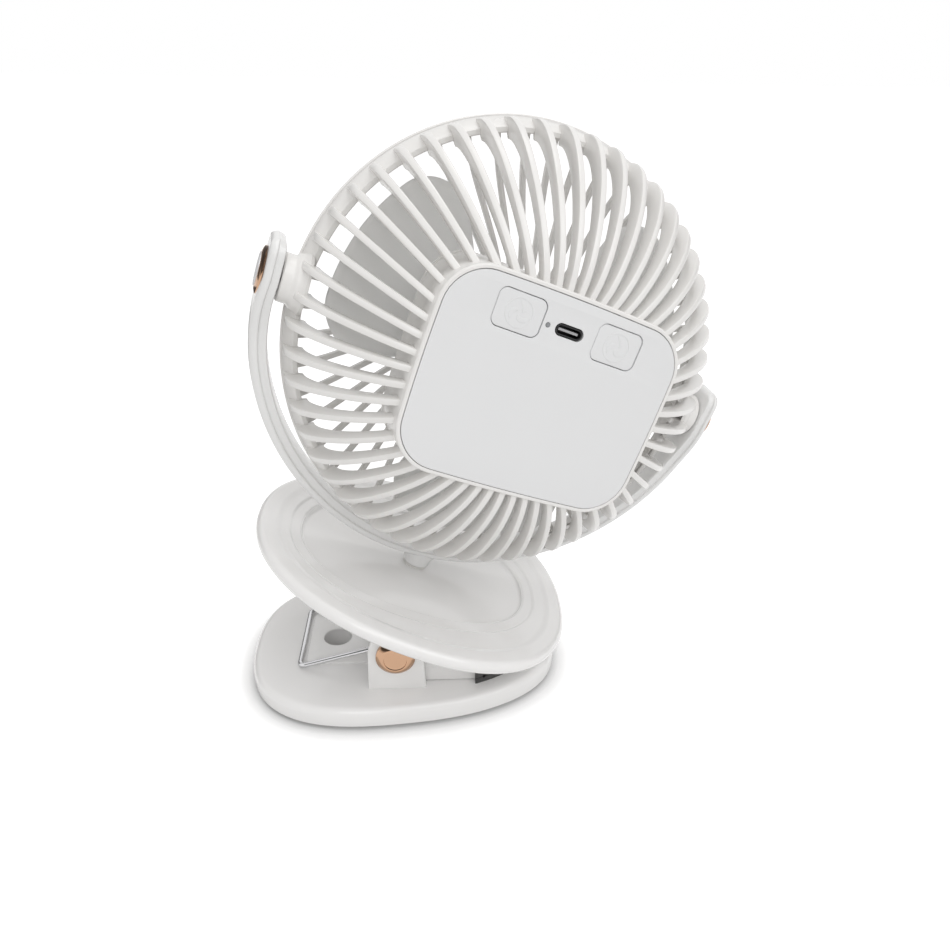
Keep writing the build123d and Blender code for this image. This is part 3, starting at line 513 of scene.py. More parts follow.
@dataclass(frozen=True)
class DarkPatch:
    """A dark part of the room, as reflections see it, about a direction.

    It fades from full depth at core times the spread, in degrees, to nothing at the spread. In the
    world it darkens what glossy rays see; on a metal finish it darkens the colour itself, which is
    a painted reflection.
    """

    toward: tuple[float, float, float]
    spread: float
    depth: float
    core: float = 0.45

    def cover(self, board: NodeBoard, ray: bpy.types.NodeSocket) -> bpy.types.NodeSocket:
        """How much of the light is left in a direction.

        Args:
            board: The tree's nodes.
            ray: Unit direction that is looked along.

        Returns:
            1 outside the patch, down to 1 - depth in its middle.
        """
        facing = board.add("ShaderNodeVectorMath", operation="DOT_PRODUCT")
        board.join(ray, facing.inputs[0])
        facing.inputs[1].default_value = Vector(self.toward).normalized()
        return board.ramp(facing.outputs["Value"],
                          (cos(radians(self.spread)), cos(radians(self.spread * self.core))),
                          (1.0, 1 - self.depth))


# Painted reflections: metal finishes darken their own colour towards these directions of
# reflection, standing in for a dark ceiling and upper room.
PAINTED_CEILING_REFLECTION = DarkPatch((0.0, -0.6, 0.8), 50.0, 0.94)
PAINTED_UPPER_REFLECTION = DarkPatch((0.0, -0.1, 1.0), 86.0, 0.9, 0.84)


def moulded_skin() -> bpy.types.NodeTree:
    """The shared group for moulded surfaces: cloudy tone, worn gloss and fine orange peel.

    Returns:
        The group, which is made on the first call.
    """
    known = bpy.data.node_groups.get("moulded_skin")
    if known:
        return known
    tree = bpy.data.node_groups.new("moulded_skin", "ShaderNodeTree")
    for name, kind, value in (
        ("Colour", "NodeSocketColor", None), ("Shade", "NodeSocketColor", None),
        ("Cloud Scale", "NodeSocketFloat", 40.0), ("Peel Scale", "NodeSocketFloat", 900.0),
        ("Gloss", "NodeSocketFloat", 0.3), ("Gloss Spread", "NodeSocketFloat", 0.1),
    ):
        socket = tree.interface.new_socket(name, in_out="INPUT", socket_type=kind)
        if value is not None:
            socket.default_value = value
    for name, kind in (("Colour", "NodeSocketColor"), ("Roughness", "NodeSocketFloat"),
                       ("Height", "NodeSocketFloat")):
        tree.interface.new_socket(name, in_out="OUTPUT", socket_type=kind)
    board = NodeBoard(tree)
    given, made = board.add("NodeGroupInput"), board.add("NodeGroupOutput")
    place = board.add("ShaderNodeTexCoord").outputs["Object"]
    cloud = board.add("ShaderNodeTexNoise", Detail=3.0)
    smudge = board.add("ShaderNodeTexNoise", Detail=5.0, Distortion=0.6)
    peel = board.add("ShaderNodeTexNoise", Detail=2.0)
    for noise in (cloud, smudge, peel):
        board.join(place, noise.inputs["Vector"])
    board.join(given.outputs["Cloud Scale"], cloud.inputs["Scale"])
    board.join(board.math("MULTIPLY", given.outputs["Cloud Scale"], 3.1), smudge.inputs["Scale"])
    board.join(given.outputs["Peel Scale"], peel.inputs["Scale"])
    mix = board.add("ShaderNodeMix", data_type="RGBA")
    board.join(cloud.outputs["Fac"], mix.inputs["Factor"])
    board.join(given.outputs["Colour"], mix.inputs["A"])
    board.join(given.outputs["Shade"], mix.inputs["B"])
    swing = board.math("SUBTRACT", smudge.outputs["Fac"], 0.5)
    spread = board.math("MULTIPLY", swing, given.outputs["Gloss Spread"])
    board.join(mix.outputs["Result"], made.inputs["Colour"])
    board.join(board.math("ADD", spread, given.outputs["Gloss"]), made.inputs["Roughness"])
    board.join(peel.outputs["Fac"], made.inputs["Height"])
    return tree


@dataclass(frozen=True)
class Finish:
    """One material, on the shared skin group with its own values.

    The peel's height is in metres. Slot is the record's name for it, where pieces wear it, though
    nothing in this script reads it.
    Dark, where it is metal, darkens its colour towards a direction of reflection: a painted dark
    reflection.
    """

    name: str
    colour: tuple[float, float, float]
    shade: tuple[float, float, float]
    gloss: float = 0.3
    gloss_spread: float = 0.1
    cloud_scale: float = 40.0
    peel_scale: float = 900.0
    peel_height: float = 0.00001
    metallic: float = 0.0
    coat: float = 0.0
    coat_roughness: float = 0.1
    slot: str = ""
    dark: DarkPatch = PAINTED_CEILING_REFLECTION

    def material(self) -> bpy.types.Material:
        """The material, built on first use.

        Returns:
            The finish's one material.
        """
        known = bpy.data.materials.get(self.name)
        if known:
            return known
        made = bpy.data.materials.new(self.name)
        made.use_nodes = True
        board = NodeBoard(made.node_tree)
        shader = made.node_tree.nodes["Principled BSDF"]
        skin = board.add(
            "ShaderNodeGroup", node_tree=moulded_skin(), Colour=(*self.colour, 1),
            Shade=(*self.shade, 1), Cloud_Scale=self.cloud_scale, Peel_Scale=self.peel_scale,
            Gloss=self.gloss, Gloss_Spread=self.gloss_spread,
        )
        bump = board.add("ShaderNodeBump", Strength=0.35, Distance=self.peel_height)
        colour = skin.outputs["Colour"]
        # Painted reflection: a metal's colour is darkened where its reflection points at the dark
        # patch.
        if self.metallic:
            painted_reflection = board.add("ShaderNodeVectorMath", operation="SCALE")
            bounce = board.add("ShaderNodeTexCoord").outputs["Reflection"]
            board.join(colour, painted_reflection.inputs[0])
            board.join(self.dark.cover(board, bounce), painted_reflection.inputs["Scale"])
            colour = painted_reflection.outputs[0]
        board.join(colour, shader.inputs["Base Color"])
        board.join(skin.outputs["Roughness"], shader.inputs["Roughness"])
        board.join(skin.outputs["Height"], bump.inputs["Height"])
        board.join(bump.outputs["Normal"], shader.inputs["Normal"])
        shader.inputs["Metallic"].default_value = self.metallic
        shader.inputs["Coat Weight"].default_value = self.coat
        shader.inputs["Coat Roughness"].default_value = self.coat_roughness
        return made


class Look(Enum):
    """Every finish of the fan."""

    CLIP = Finish("clip_white", (0.88, 0.875, 0.868), (0.858, 0.85, 0.84), gloss=0.13,
                  gloss_spread=0.06, coat=0.3, peel_height=0.000006, slot="clip_plastic")
    YOKE = Finish("yoke_white", (0.845, 0.845, 0.84), (0.82, 0.818, 0.81), gloss=0.2,
                  slot="yoke_plastic")
    GRILLE = Finish("grille_white", (0.855, 0.845, 0.83), (0.835, 0.822, 0.80), gloss=0.25,
                    slot="grille_plastic")
    PANEL = Finish("panel_white", (0.80, 0.805, 0.81), (0.78, 0.785, 0.79), gloss=0.42,
                   peel_scale=2600.0, peel_height=0.000012, slot="panel_plastic")
    BLADE = Finish("impeller_grey", (0.79, 0.79, 0.78), (0.76, 0.76, 0.75), gloss=0.45,
                   slot="impeller_plastic")
    RUBBER = Finish("pad_rubber", (0.07, 0.068, 0.066), (0.05, 0.05, 0.049), gloss=0.62,
                    peel_scale=1800.0, peel_height=0.00003)
    WASHER = Finish("washer_nylon", (0.72, 0.71, 0.68), (0.66, 0.65, 0.62), gloss=0.4)
    SWITCH = Finish("switch_black", (0.03, 0.03, 0.032), (0.02, 0.02, 0.02), gloss=0.4)
    BOARD = Finish("board_green", (0.02, 0.14, 0.06), (0.015, 0.1, 0.045), gloss=0.3, coat=0.5)
    PORT = Finish("port_black", (0.012, 0.012, 0.013), (0.008, 0.008, 0.009), gloss=0.35)
    TONGUE = Finish("port_tongue", (0.5, 0.5, 0.51), (0.42, 0.42, 0.43), gloss=0.35)
    LIGHT_PIPE = Finish("light_pipe_smoke", (0.3, 0.31, 0.32), (0.25, 0.26, 0.27), gloss=0.15)
    ROSE_GOLD = Finish("cap_rose_gold", (0.56, 0.355, 0.235), (0.5, 0.31, 0.2), gloss=0.11,
                       gloss_spread=0.08, metallic=1.0, dark=PAINTED_UPPER_REFLECTION, peel_scale=3000.0,
                       peel_height=0.000002, slot="cap_metal")
    CHROME = Finish("spring_chrome", (0.72, 0.72, 0.73), (0.66, 0.66, 0.67), gloss=0.12,
                    metallic=1.0, peel_scale=2500.0, peel_height=0.000004, slot="spring_wire")
    STEEL = Finish("screw_steel", (0.55, 0.55, 0.56), (0.48, 0.48, 0.49), gloss=0.3,
                   metallic=1.0)
    # Near-black, non-metal port shell: painted shade standing in for the dark port opening.
    PORT_SHELL_SHADE = Finish("port_shell_painted_shade", (0.016, 0.016, 0.017), (0.011, 0.011, 0.012), gloss=0.4)
    CELL = Finish("cell_sleeve", (0.12, 0.2, 0.42), (0.1, 0.17, 0.36), gloss=0.25, coat=0.4)
    MOTOR = Finish("motor_can", (0.5, 0.5, 0.5), (0.42, 0.42, 0.42), gloss=0.3, metallic=1.0)

    @property
    def material(self) -> bpy.types.Material:
        """The finish's material."""
        return self.value.material()


def dress(look: Look, *nodes: str) -> None:
    """Gives carried-over nodes their finish.

    Args:
        look: The finish.
        nodes: Names of the carried-over nodes.
    """
    for node in nodes:
        carried = frame["nodes"][node]
        if not carried.material_slots:
            carried.data.materials.append(look.material)
        for slot in carried.material_slots:
            slot.material = look.material
        log.info("node %s wears %s", node, look.value.name)


def mount(
    drawn: Surface | bpy.types.Mesh, name: str, axes: Matrix, look: Look, body: str, *nodes: str
) -> None:
    """Makes a piece that rides on a body and stands for its nodes.

    Args:
        drawn: The piece in the drawing's axes.
        name: The piece's name.
        axes: From the drawing's axes to the shared frame.
        look: Its finish, whose material the piece wears.
        body: The body that carries it.
        nodes: Nodes that it replaces.
    """
    mesh = drawn.mesh(name) if isinstance(drawn, Surface) else drawn
    piece = as_piece(mesh, name, axes, look)
    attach(piece, body)
    if nodes:
        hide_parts(*nodes)
    log.info("piece %s rides on %s, %d faces", name, body, len(piece.data.polygons))


# ---- copies round an axis ----
def circle_of_copies(
    drawn: Surface, count: int, look: Look, first_angle: float = 0.0
) -> bpy.types.Mesh:
    """Copies what was drawn evenly round Y with a node tree.

    Args:
        drawn: The first copy.
        count: How many there are in a whole turn.
        look: Finish of the copies.
        first_angle: Degrees that the first copy is turned.

    Returns:
        One plain mesh of all copies.
    """
    mesh = drawn.mesh("first_copy")
    if first_angle:
        mesh.transform(Matrix.Rotation(-radians(first_angle), 4, "Y"))
    tree = bpy.data.node_groups.new("circle_of_copies", "GeometryNodeTree")
    tree.interface.new_socket("Geometry", in_out="INPUT", socket_type="NodeSocketGeometry")
    number = tree.interface.new_socket("Count", in_out="INPUT", socket_type="NodeSocketInt")
    finish = tree.interface.new_socket("Finish", in_out="INPUT", socket_type="NodeSocketMaterial")
    tree.interface.new_socket("Geometry", in_out="OUTPUT", socket_type="NodeSocketGeometry")
    board = NodeBoard(tree)
    given, made = board.add("NodeGroupInput"), board.add("NodeGroupOutput")
    points = board.add("GeometryNodeMeshLine", Offset=(0.0, 0.0, 0.0))
    turn = board.math("DIVIDE", tau, given.outputs["Count"])
    angle = board.math("MULTIPLY", board.add("GeometryNodeInputIndex").outputs[0], turn)
    euler = board.add("ShaderNodeCombineXYZ")
    rotation = board.add("FunctionNodeEulerToRotation")
    copies = board.add("GeometryNodeInstanceOnPoints")
    realize = board.add("GeometryNodeRealizeInstances")
    paint = board.add("GeometryNodeSetMaterial")
    board.join(given.outputs["Count"], points.inputs["Count"])
    board.join(angle, euler.inputs["Y"])
    board.join(euler.outputs[0], rotation.inputs[0])
    board.join(points.outputs[0], copies.inputs["Points"])
    board.join(given.outputs["Geometry"], copies.inputs["Instance"])
    board.join(rotation.outputs[0], copies.inputs["Rotation"])
    board.join(copies.outputs[0], realize.inputs[0])
    board.join(realize.outputs[0], paint.inputs["Geometry"])
    board.join(given.outputs["Finish"], paint.inputs["Material"])
    board.join(paint.outputs[0], made.inputs[0])
    source = bpy.data.objects.new("copies_drawn", mesh)
    bpy.context.scene.collection.objects.link(source)
    modifier = source.modifiers.new("copies", "NODES")
    modifier.node_group = tree
    modifier[number.identifier] = count
    modifier[finish.identifier] = look.material
    return plain_mesh(source)


# ---- clip ----
@dataclass
class ClipBase:
    """Lower jaw with its ears, pad, hinge caps and spring."""

    length: float = 124.6
    width: float = 89.6
    height: float = 9.7
    wall: float = 2.4
    edge: float = 3.0
    plinth_inset: float = 2.1
    plinth_rise: float = 1.4
    foot_edge: float = 0.9
    grown: float = 1.3
    taper: float = 0.13
    power: float = 2.5
    hole_x: float = -27.9
    hole_radius: float = 5.75
    seat_rise: float = 1.0
    seat_rear: float = -39.35
    seat_front: float = -12.35
    seat_half: float = 17.0
    seat_power: float = 14.0
    ear_outer: float = 33.0
    ear_thickness: float = 4.0
    ear_half_width: float = 10.6
    ear_flare: float = 0.8
    cap_radius: float = 7.5
    cap_face: float = 4.6
    cap_height: float = 3.6
    cap_floor: float = 3.2
    cap_gap: float = 0.05
    leg_turn: float = 110.0
    leg_blend: tuple[float, float] = (5.8, 13.0)
    leg_cuts: int = 8
    body: str = "base"

    def outline(self, inset: float, height: float) -> Ring:
        """Plan of the base, drawn in, at a height.

        Args:
            inset: How far it is drawn in.
            height: Its place along Z.

        Returns:
            The ring, in the clip's axes.
        """
        length = self.length + self.grown - 2 * inset
        ring = oval(length, self.width - 2 * inset, self.power, self.taper, height)
        return [point + Vector((self.grown / 2, 0, 0)) for point in ring]

    def shell(self) -> Surface:
        """The oval moulding with its hanging hole, and the raised seat inside the bail.

        Returns:
            One surface that holds both.
        """
        top, ceiling = self.height, self.height - self.wall
        tube = self.hole_radius + self.wall / 2
        rings = [
            circle(self.hole_radius, 0, self.hole_x), circle(tube, 0, self.hole_x),
            circle(tube, ceiling, self.hole_x), self.outline(self.wall, ceiling),
            self.outline(self.wall, 0), self.outline(self.plinth_inset, 0),
            self.outline(self.plinth_inset, self.plinth_rise),
        ]
        corner = (self.foot_edge, self.plinth_rise + self.foot_edge)
        side = arc(corner, self.foot_edge, 270, 180, 6)
        side += arc((self.edge, top - self.edge), self.edge, 180, 90, 10)
        rings += [self.outline(inset, height) for inset, height in side]
        rings += [self.outline(self.edge + 6, top),
                  circle(self.hole_radius + 0.8, top, self.hole_x),
                  circle(self.hole_radius, top, self.hole_x)]
        surface = skinned(rings, tube=True)
        middle = (self.seat_rear + self.seat_front) / 2
        reach = self.seat_front - self.seat_rear

        def seat(inset: float, height: float) -> Ring:
            """Plan of the raised seat, drawn in, at a height.

            Args:
                inset: How far it is drawn in.
                height: Its place along Z.

            Returns:
                The ring, in the clip's axes.
            """
            ring = oval(reach - 2 * inset, 2 * (self.seat_half - inset), self.seat_power, 0,
                        height)
            return [point + Vector((middle, 0, 0)) for point in ring]

        raised, edge = top + self.seat_rise, 0.35
        surface.skin([
            seat(0, top - 0.3), seat(0, raised - edge), seat(0.1, raised - 0.1),
            seat(edge, raised), circle(self.hole_radius + 0.5, raised, self.hole_x),
            circle(self.hole_radius + 0.12, raised - 0.14, self.hole_x),
            circle(self.hole_radius, raised - 0.5, self.hole_x),
            circle(self.hole_radius, top - 0.3, self.hole_x),
        ], tube=True)
        return surface

    def ear(self, side: int) -> Surface:
        """One hinge ear with a round top, on the plus or minus Y side.

        Args:
            side: 1 or -1, for plus or minus Y.

        Returns:
            A closed surface, in the clip's axes.
        """
        hinge = Pivot.of("jaw_hinge").point / METRES

        def outline(grow: float, y: float) -> Ring:
            """The ear seen along Y, grown.

            Args:
                grow: How far it is grown.
                y: Its place along Y.

            Returns:
                The ring, from one foot over the top to the other.
            """
            half, foot = self.ear_half_width + grow, self.ear_half_width + self.ear_flare + grow
            bottom = self.height - 1.0
            points = [(hinge.x + foot, bottom)]
            points += arc((hinge.x, hinge.z), half, 0, 180, 40)
            points.append((hinge.x - foot, bottom))
            return [Vector((x, y, z)) for x, z in points]

        outer = side * self.ear_outer
        inner = side * (self.ear_outer - self.ear_thickness)
        step = side * 0.45
        return skinned([
            outline(-0.45, outer), outline(-0.13, outer - step * 0.3), outline(0, outer - step),
            outline(0, inner + step), outline(-0.13, inner + step * 0.3), outline(-0.45, inner),
        ], caps=True)

    def cap(self, side: int) -> Surface:
        """A hinge cap, facing out on the plus or minus Y side.

        Args:
            side: 1 or -1, for plus or minus Y.

        Returns:
            The cap's surface.
        """
        start = self.ear_outer + self.cap_gap
        profile = swelling_cap(self.cap_radius, self.cap_face, self.cap_height, self.cap_floor)
        return turned([(radius, side * (start + rise)) for radius, rise in profile], along_y)

    def spring(self) -> None:
        """The torsion spring, copied from the imported wire; nothing here makes its upper legs
        follow the upper jaw.

        Their first stretch is cut into short pieces, so that it can bend.
        """
        packed = frame["nodes"]["torsion_spring"]
        axes = Axes.CLIP.matrix()
        flat = axes.inverted()
        mesh = packed.data.copy()
        mesh.transform(flat @ packed.matrix_world)
        hinge = flat @ Pivot.of("jaw_hinge").point
        turn = radians(self.leg_turn)
        along = Vector((cos(turn), 0, sin(turn)))
        near, far = self.leg_blend
        wire = bmesh.new()
        wire.from_mesh(mesh)
        for step in range(1, self.leg_cuts + 1):
            level = near + (far - near) * step / self.leg_cuts
            faces = [face for face in wire.faces
                     if max((vertex.co - hinge).dot(along) for vertex in face.verts) > far]
            edges = {edge for face in faces for edge in face.edges}
            corners = {vertex for face in faces for vertex in face.verts}
            bmesh.ops.bisect_plane(wire, geom=[*corners, *edges, *faces], dist=SEAM,
                                   plane_co=hinge + along * level, plane_no=along)
        wire.to_mesh(mesh)
        wire.free()
        piece = as_piece(mesh, "bail_spring", axes, Look.CHROME)
        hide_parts("torsion_spring")
        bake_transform(piece)
        log.info("piece %s bends from base to upper jaw", piece.name)

    def build(self) -> None:
        """Builds and dresses the lower jaw."""
        clip, hinge = Axes.CLIP.matrix(), Axes.HINGE.matrix()
        mount(self.shell(), "base_moulding", clip, Look.CLIP, self.body, "base_shell")
        for side, name in ((-1, "near"), (1, "far")):
            mount(self.ear(side), f"ear_{name}", clip, Look.CLIP, self.body)
            mount(self.cap(side), f"stepped_cap_{name}", hinge, Look.ROSE_GOLD, self.body,
                  f"hinge_cap_{name}")
        dress(Look.CLIP, "base_cover")
        dress(Look.STEEL, "base_screws", "hinge_pin")
        dress(Look.RUBBER, "lower_jaw_pad")
        self.spring()


@dataclass
class UpperJaw:
    """Dish with its stepped recess, over the underbody."""

    length: float = 128.0
    width: float = 118.6
    shift: float = 0.65
    height: float = 7.7
    wall: float = 2.2
    edge: float = 2.6
    under_reach: float = 9.0
    under_rise: float = 4.8
    side_wall: float = 10.5
    plate_inset: float = 3.35
    plate_rise: float = 2.0
    plate_rim: float = 2.2
    lip_width: float = 9.5
    lip_step: float = 0.8
    power: float = 2.2
    taper: float = -0.08
    step_length: float = 102.0
    step_width: float = 84.0
    step_depth: float = 1.5
    recess_length: float = 94.0
    recess_width: float = 72.0
    recess_depth: float = 3.4
    floor_radius: float = 1.6
    lip_soft: float = 3.2
    step_soft: float = 1.5
    recess_edge: float = 0.5
    recess_soft: float = 0.9
    hub_radius: float = 8.0
    bore_radius: float = 3.46
    body: str = "upper_jaw"

    def outline(self, inset: float, height: float) -> Ring:
        """Plan of the dish, drawn in, at a height.

        Args:
            inset: How far it is drawn in.
            height: Its place along Z.

        Returns:
            The ring, in the dish's axes.
        """
        length, width = self.length - 2 * inset, self.width - 2 * inset
        ring = oval(length, width, self.power, self.taper, height)
        return [point + Vector((self.shift, 0, 0)) for point in ring]

    def step(self, inset: float, height: float) -> Ring:
        """Plan of the upper step."""
        return oval(self.step_length - 2 * inset, self.step_width - 2 * inset, self.power, 0,
                    height)

    def recess(self, inset: float, height: float) -> Ring:
        """Plan of the recess."""
        return oval(self.recess_length - 2 * inset, self.recess_width - 2 * inset, self.power, 0,
                    height)

    def fall(self, plan: Callable[[float, float], Ring], high: float, low: float,
             soft: float) -> list[Ring]:
        """Rows of a soft step down, centred on a plan.

        Args:
            plan: Gives a ring from an inset and a height.
            high: Height outside the step.
            low: Height inside it.
            soft: Width of the whole step.

        Returns:
            Rings from outside to inside.
        """
        shares = [step / 8 for step in range(9)]
        return [plan((share - 0.5) * soft, high + (low - high) * (1 - cos(pi * share)) / 2)
                for share in shares]

    def dish(self) -> Surface:
        """The whole dish as one closed skin.

        Returns:
            A closed surface, in the dish's axes.
        """
        bottom, ceiling = -self.height, -self.recess_depth - self.wall
        rings = [
            circle(self.bore_radius, bottom), circle(self.hub_radius, bottom),
            circle(self.hub_radius, ceiling), self.outline(self.side_wall, ceiling),
            self.outline(self.side_wall, bottom),
        ]
        side = [(self.under_reach * (1 - sin(radians(turn))),
                 bottom + self.under_rise * (1 - cos(radians(turn)))) for turn in range(0, 91, 9)]
        side += arc((self.edge, -self.edge), self.edge, 180, 90, 10)
        for turn in range(0, 181, 12):
            share = turn / 180
            side.append((self.lip_width - self.lip_soft * (1 - share),
                         -self.lip_step * (1 - cos(pi * share)) / 2))
        rings += [self.outline(inset, height) for inset, height in side]
        rings += self.fall(self.step, -self.lip_step, -self.step_depth, self.step_soft)
        shelf, floor = -self.step_depth - self.recess_edge, -self.recess_depth
        rings += self.fall(self.recess, -self.step_depth, shelf, self.recess_soft)
        center = (self.recess_soft / 2 + self.floor_radius, floor + self.floor_radius)
        rings += [self.recess(inset, min(height, shelf))
                  for inset, height in arc(center, self.floor_radius, 180, 270, 8)]
        rings += [self.recess(14, floor), circle(self.hub_radius, floor),
                  circle(self.bore_radius, floor)]
        return skinned(rings, tube=True)

    def underbody(self) -> bpy.types.Mesh:
        """The underbody, with its plate drawn in to meet the dish's round underside.

        Returns:
            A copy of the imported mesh, in the dish's axes.
        """
        packed = frame["nodes"]["jaw_underbody"]
        axes = Axes.DISH.matrix()
        mesh = packed.data.copy()
        mesh.transform(axes.inverted() @ packed.matrix_world)
        rim = self.outline(self.plate_inset, 0)
        for vertex in mesh.vertices:
            place = vertex.co
            if place.z > self.plate_rise - self.height:
                continue
            turn = atan2(place.y, place.x) % tau
            edge = rim[round(turn / tau * ROUND_STEPS) % ROUND_STEPS].length
            reach = Vector((place.x, place.y)).length
            if reach > edge - self.plate_rim:
                share = (reach - self.side_wall + self.plate_inset - 0.3) / reach
                place.x, place.y = place.x * share, place.y * share
        return mesh

    def build(self) -> None:
        """Builds and dresses the upper jaw."""
        axes = Axes.DISH.matrix()
        mount(self.dish(), "dish_moulding", axes, Look.CLIP, self.body, "dish")
        mount(self.underbody(), "underbody_moulding", axes, Look.CLIP, self.body,
              "jaw_underbody")
        dress(Look.RUBBER, "upper_jaw_pad")
        dress(Look.STEEL, "jaw_screws")
        dress(Look.WASHER, "swivel_washer")


# ---- yoke ----
@dataclass
class Yoke:
    """U-shaped strap with its boss, eyes and caps."""

    inner: float = 80.4
    outer: float = 86.4
    width: float = 13.0
    step: float = 0.9
    edge: float = 2.6
    arm_rise: float = 11.8
    lean_from: float = -30.0
    lean_at_axis: float = 2.0
    inner_share: float = 0.5
    eye_radius: float = 9.3
    end_radius: float = 4.5
    end_thickness: float = 5.8
    height: float = 89.15
    boss_bottom: float = -91.65
    boss_radius: float = 5.4
    boss_flare: float = 9.5
    stub_radius: float = 3.4
    stub_bottom: float = -96.75
    cap_radius: float = 7.5
    cap_face: float = 4.6
    cap_height: float = 1.5
    cap_floor: float = 1.2
    cap_gap: float = 0.05
    top_soft: float = 1.9
    arm_step: float = 1.2
    boss_spread: float = 0.9
    body: str = "yoke"

    def section(self) -> list[tuple[float, float]]:
        """Half the strap's section: share of the thickness and distance in from the side.

        Returns:
            The section's points, from the inside of the strap outwards.
        """
        thickness = self.outer - self.inner
        step_at = 0.5
        soft = 0.4 / thickness
        half = [(0.0, 1.0), (soft * 0.3, 0.3), (soft, 0.0)]
        half = [(share, self.step + inset) for share, inset in half]
        half += [(step_at - soft * 0.6, self.step), (step_at, self.step - 0.25),
                 (step_at, 0.35), (step_at + soft * 0.4, 0.1), (step_at + soft, 0.0)]
        radius = self.edge
        for reach, inset in arc((thickness - radius, radius), radius, -90, 0, 7):
            half.append((reach / thickness, inset))
        return half

    def station(self, half_width: float, low: float, high: float,
                place: Callable[[float, float], Vector]) -> Ring:
        """The strap's section at one place.

        Args:
            half_width: Half the strap's width there.
            low: Radius of the inner face.
            high: Radius of the outer face.
            place: Puts radius and width on the yoke's axes.

        Returns:
            A ring of points.
        """
        points = [(low + (high - low) * share, half_width - inset)
                  for share, inset in self.section()]
        mirrored = [(radius, -y) for radius, y in reversed(points)]
        return [place(radius, y) for radius, y in points + mirrored]

    def arm_half_width(self, height: float) -> float:
        """Half width of the arm at a height over the trunnion axis.

        Args:
            height: Height over the trunnion axis.

        Returns:
            Half the arm's width there.
        """
        lower = -2.4 * self.eye_radius
        share = min(max((height - lower) / -lower, 0.0), 1.0)
        share = share * share * (3 - 2 * share)
        half = self.width / 2 + (self.eye_radius - self.width / 2) * share
        if height > 0:
            half = self.eye_radius - height / self.arm_rise
        over = height - (self.arm_rise - self.end_radius)
        if over > 0:
            half -= self.end_radius - sqrt(max(self.end_radius ** 2 - over ** 2, 0))
        return half

    def lean(self, height: float) -> float:
        """How far the strap bends in at a height over the trunnion axis."""
        over = max(min(height, 0) - self.lean_from, 0) / -self.lean_from
        return self.lean_at_axis * over * over

    def arm(self, side: int) -> list[Ring]:
        """Stations of one arm, from its top down to the trunnion axis.

        Args:
            side: 1 or -1, for plus or minus X.

        Returns:
            A ring for each station.
        """
        rings = []
        soft = self.top_soft
        thickness = self.outer - self.inner
        heights = [self.arm_rise - soft * (1 - cos(radians(turn))) for turn in range(0, 91, 15)]
        heights += [self.arm_rise - soft - self.arm_step * step for step in range(1, 11)]
        for height in heights:
            over = max(height - (self.arm_rise - soft), 0)
            drawn_in = soft - sqrt(max(soft ** 2 - over ** 2, 0))
            taper = (thickness - self.end_thickness) * max(height, 0) / self.arm_rise
            half = max(self.arm_half_width(min(height, self.arm_rise - 0.5)) - drawn_in * 0.6, 0.6)
            lean = self.lean(height)
            rings.append(self.station(
                half, self.inner + taper + drawn_in - lean * self.inner_share,
                self.outer - drawn_in - lean,
                lambda radius, y, z=height: Vector((side * radius, y, z)),
            ))
        return rings

    def strap(self) -> Surface:
        """Both arms and the half ring between them.

        Returns:
            A closed surface, in the yoke's axes.
        """
        rings = self.arm(-1)
        steps = 96
        for step in range(steps + 1):
            angle = pi + pi * step / steps
            direction = Vector((cos(angle), 0, sin(angle)))
            half = self.arm_half_width(self.outer * sin(angle))
            lean = self.lean(self.outer * sin(angle))
            rings.append(self.station(
                half, self.inner - lean * self.inner_share, self.outer - lean,
                lambda radius, y, d=direction: d * radius + Vector((0, y, 0)),
            ))
        rings += reversed(self.arm(1))
        return skinned(rings, caps=True)

    def boss(self) -> Surface:
        """The boss under the strap with the stub that turns in the dish.

        Returns:
            A closed surface, in the yoke's axes.
        """
        stub, foot, bottom = self.stub_radius, self.boss_radius, self.boss_bottom
        profile = [(0.0, self.stub_bottom), (stub, self.stub_bottom), (stub, bottom),
                   (foot - 0.9, bottom), (foot - 0.4, bottom + 0.2), (foot - 0.1, bottom + 0.6)]
        rows = [(radius, radius, height) for radius, height in profile]
        rise, top, steps = bottom + 1.1, -self.outer + 2.2, 14
        for step in range(steps + 1):
            share = step / steps
            rows.append((foot + (self.boss_flare - foot) * share ** 2,
                         foot + self.boss_spread * share, rise + (top - rise) * share))
        turns = [tau * step / 72 for step in range(72)]
        return skinned([[Vector((along * cos(t), across * sin(t), height)) for t in turns]
                        for along, across, height in rows])

    def cap(self, side: int) -> Surface:
        """A trunnion cap, on the plus or minus X side.

        Args:
            side: 1 or -1, for plus or minus X.

        Returns:
            The cap's surface.
        """
        start = self.outer - self.lean(0) + self.cap_gap
        profile = swelling_cap(self.cap_radius, self.cap_face, self.cap_height, self.cap_floor)
        return turned([(radius, side * (start + rise)) for radius, rise in profile], along_x)

    def build(self) -> None:
        """Builds and dresses the yoke."""
        axes = Axes.YOKE.matrix()
        mount(self.strap(), "yoke_strap", axes, Look.YOKE, self.body, "yoke")
        mount(self.boss(), "yoke_boss", axes, Look.YOKE, self.body)
        for side, name in ((-1, "left"), (1, "right")):
            mount(self.cap(side), f"domed_cap_{name}", axes, Look.ROSE_GOLD, self.body,
                  f"trunnion_cap_{name}")
        dress(Look.STEEL, "swivel_screw", "trunnion_pins")
        dress(Look.WASHER, "trunnion_washers")


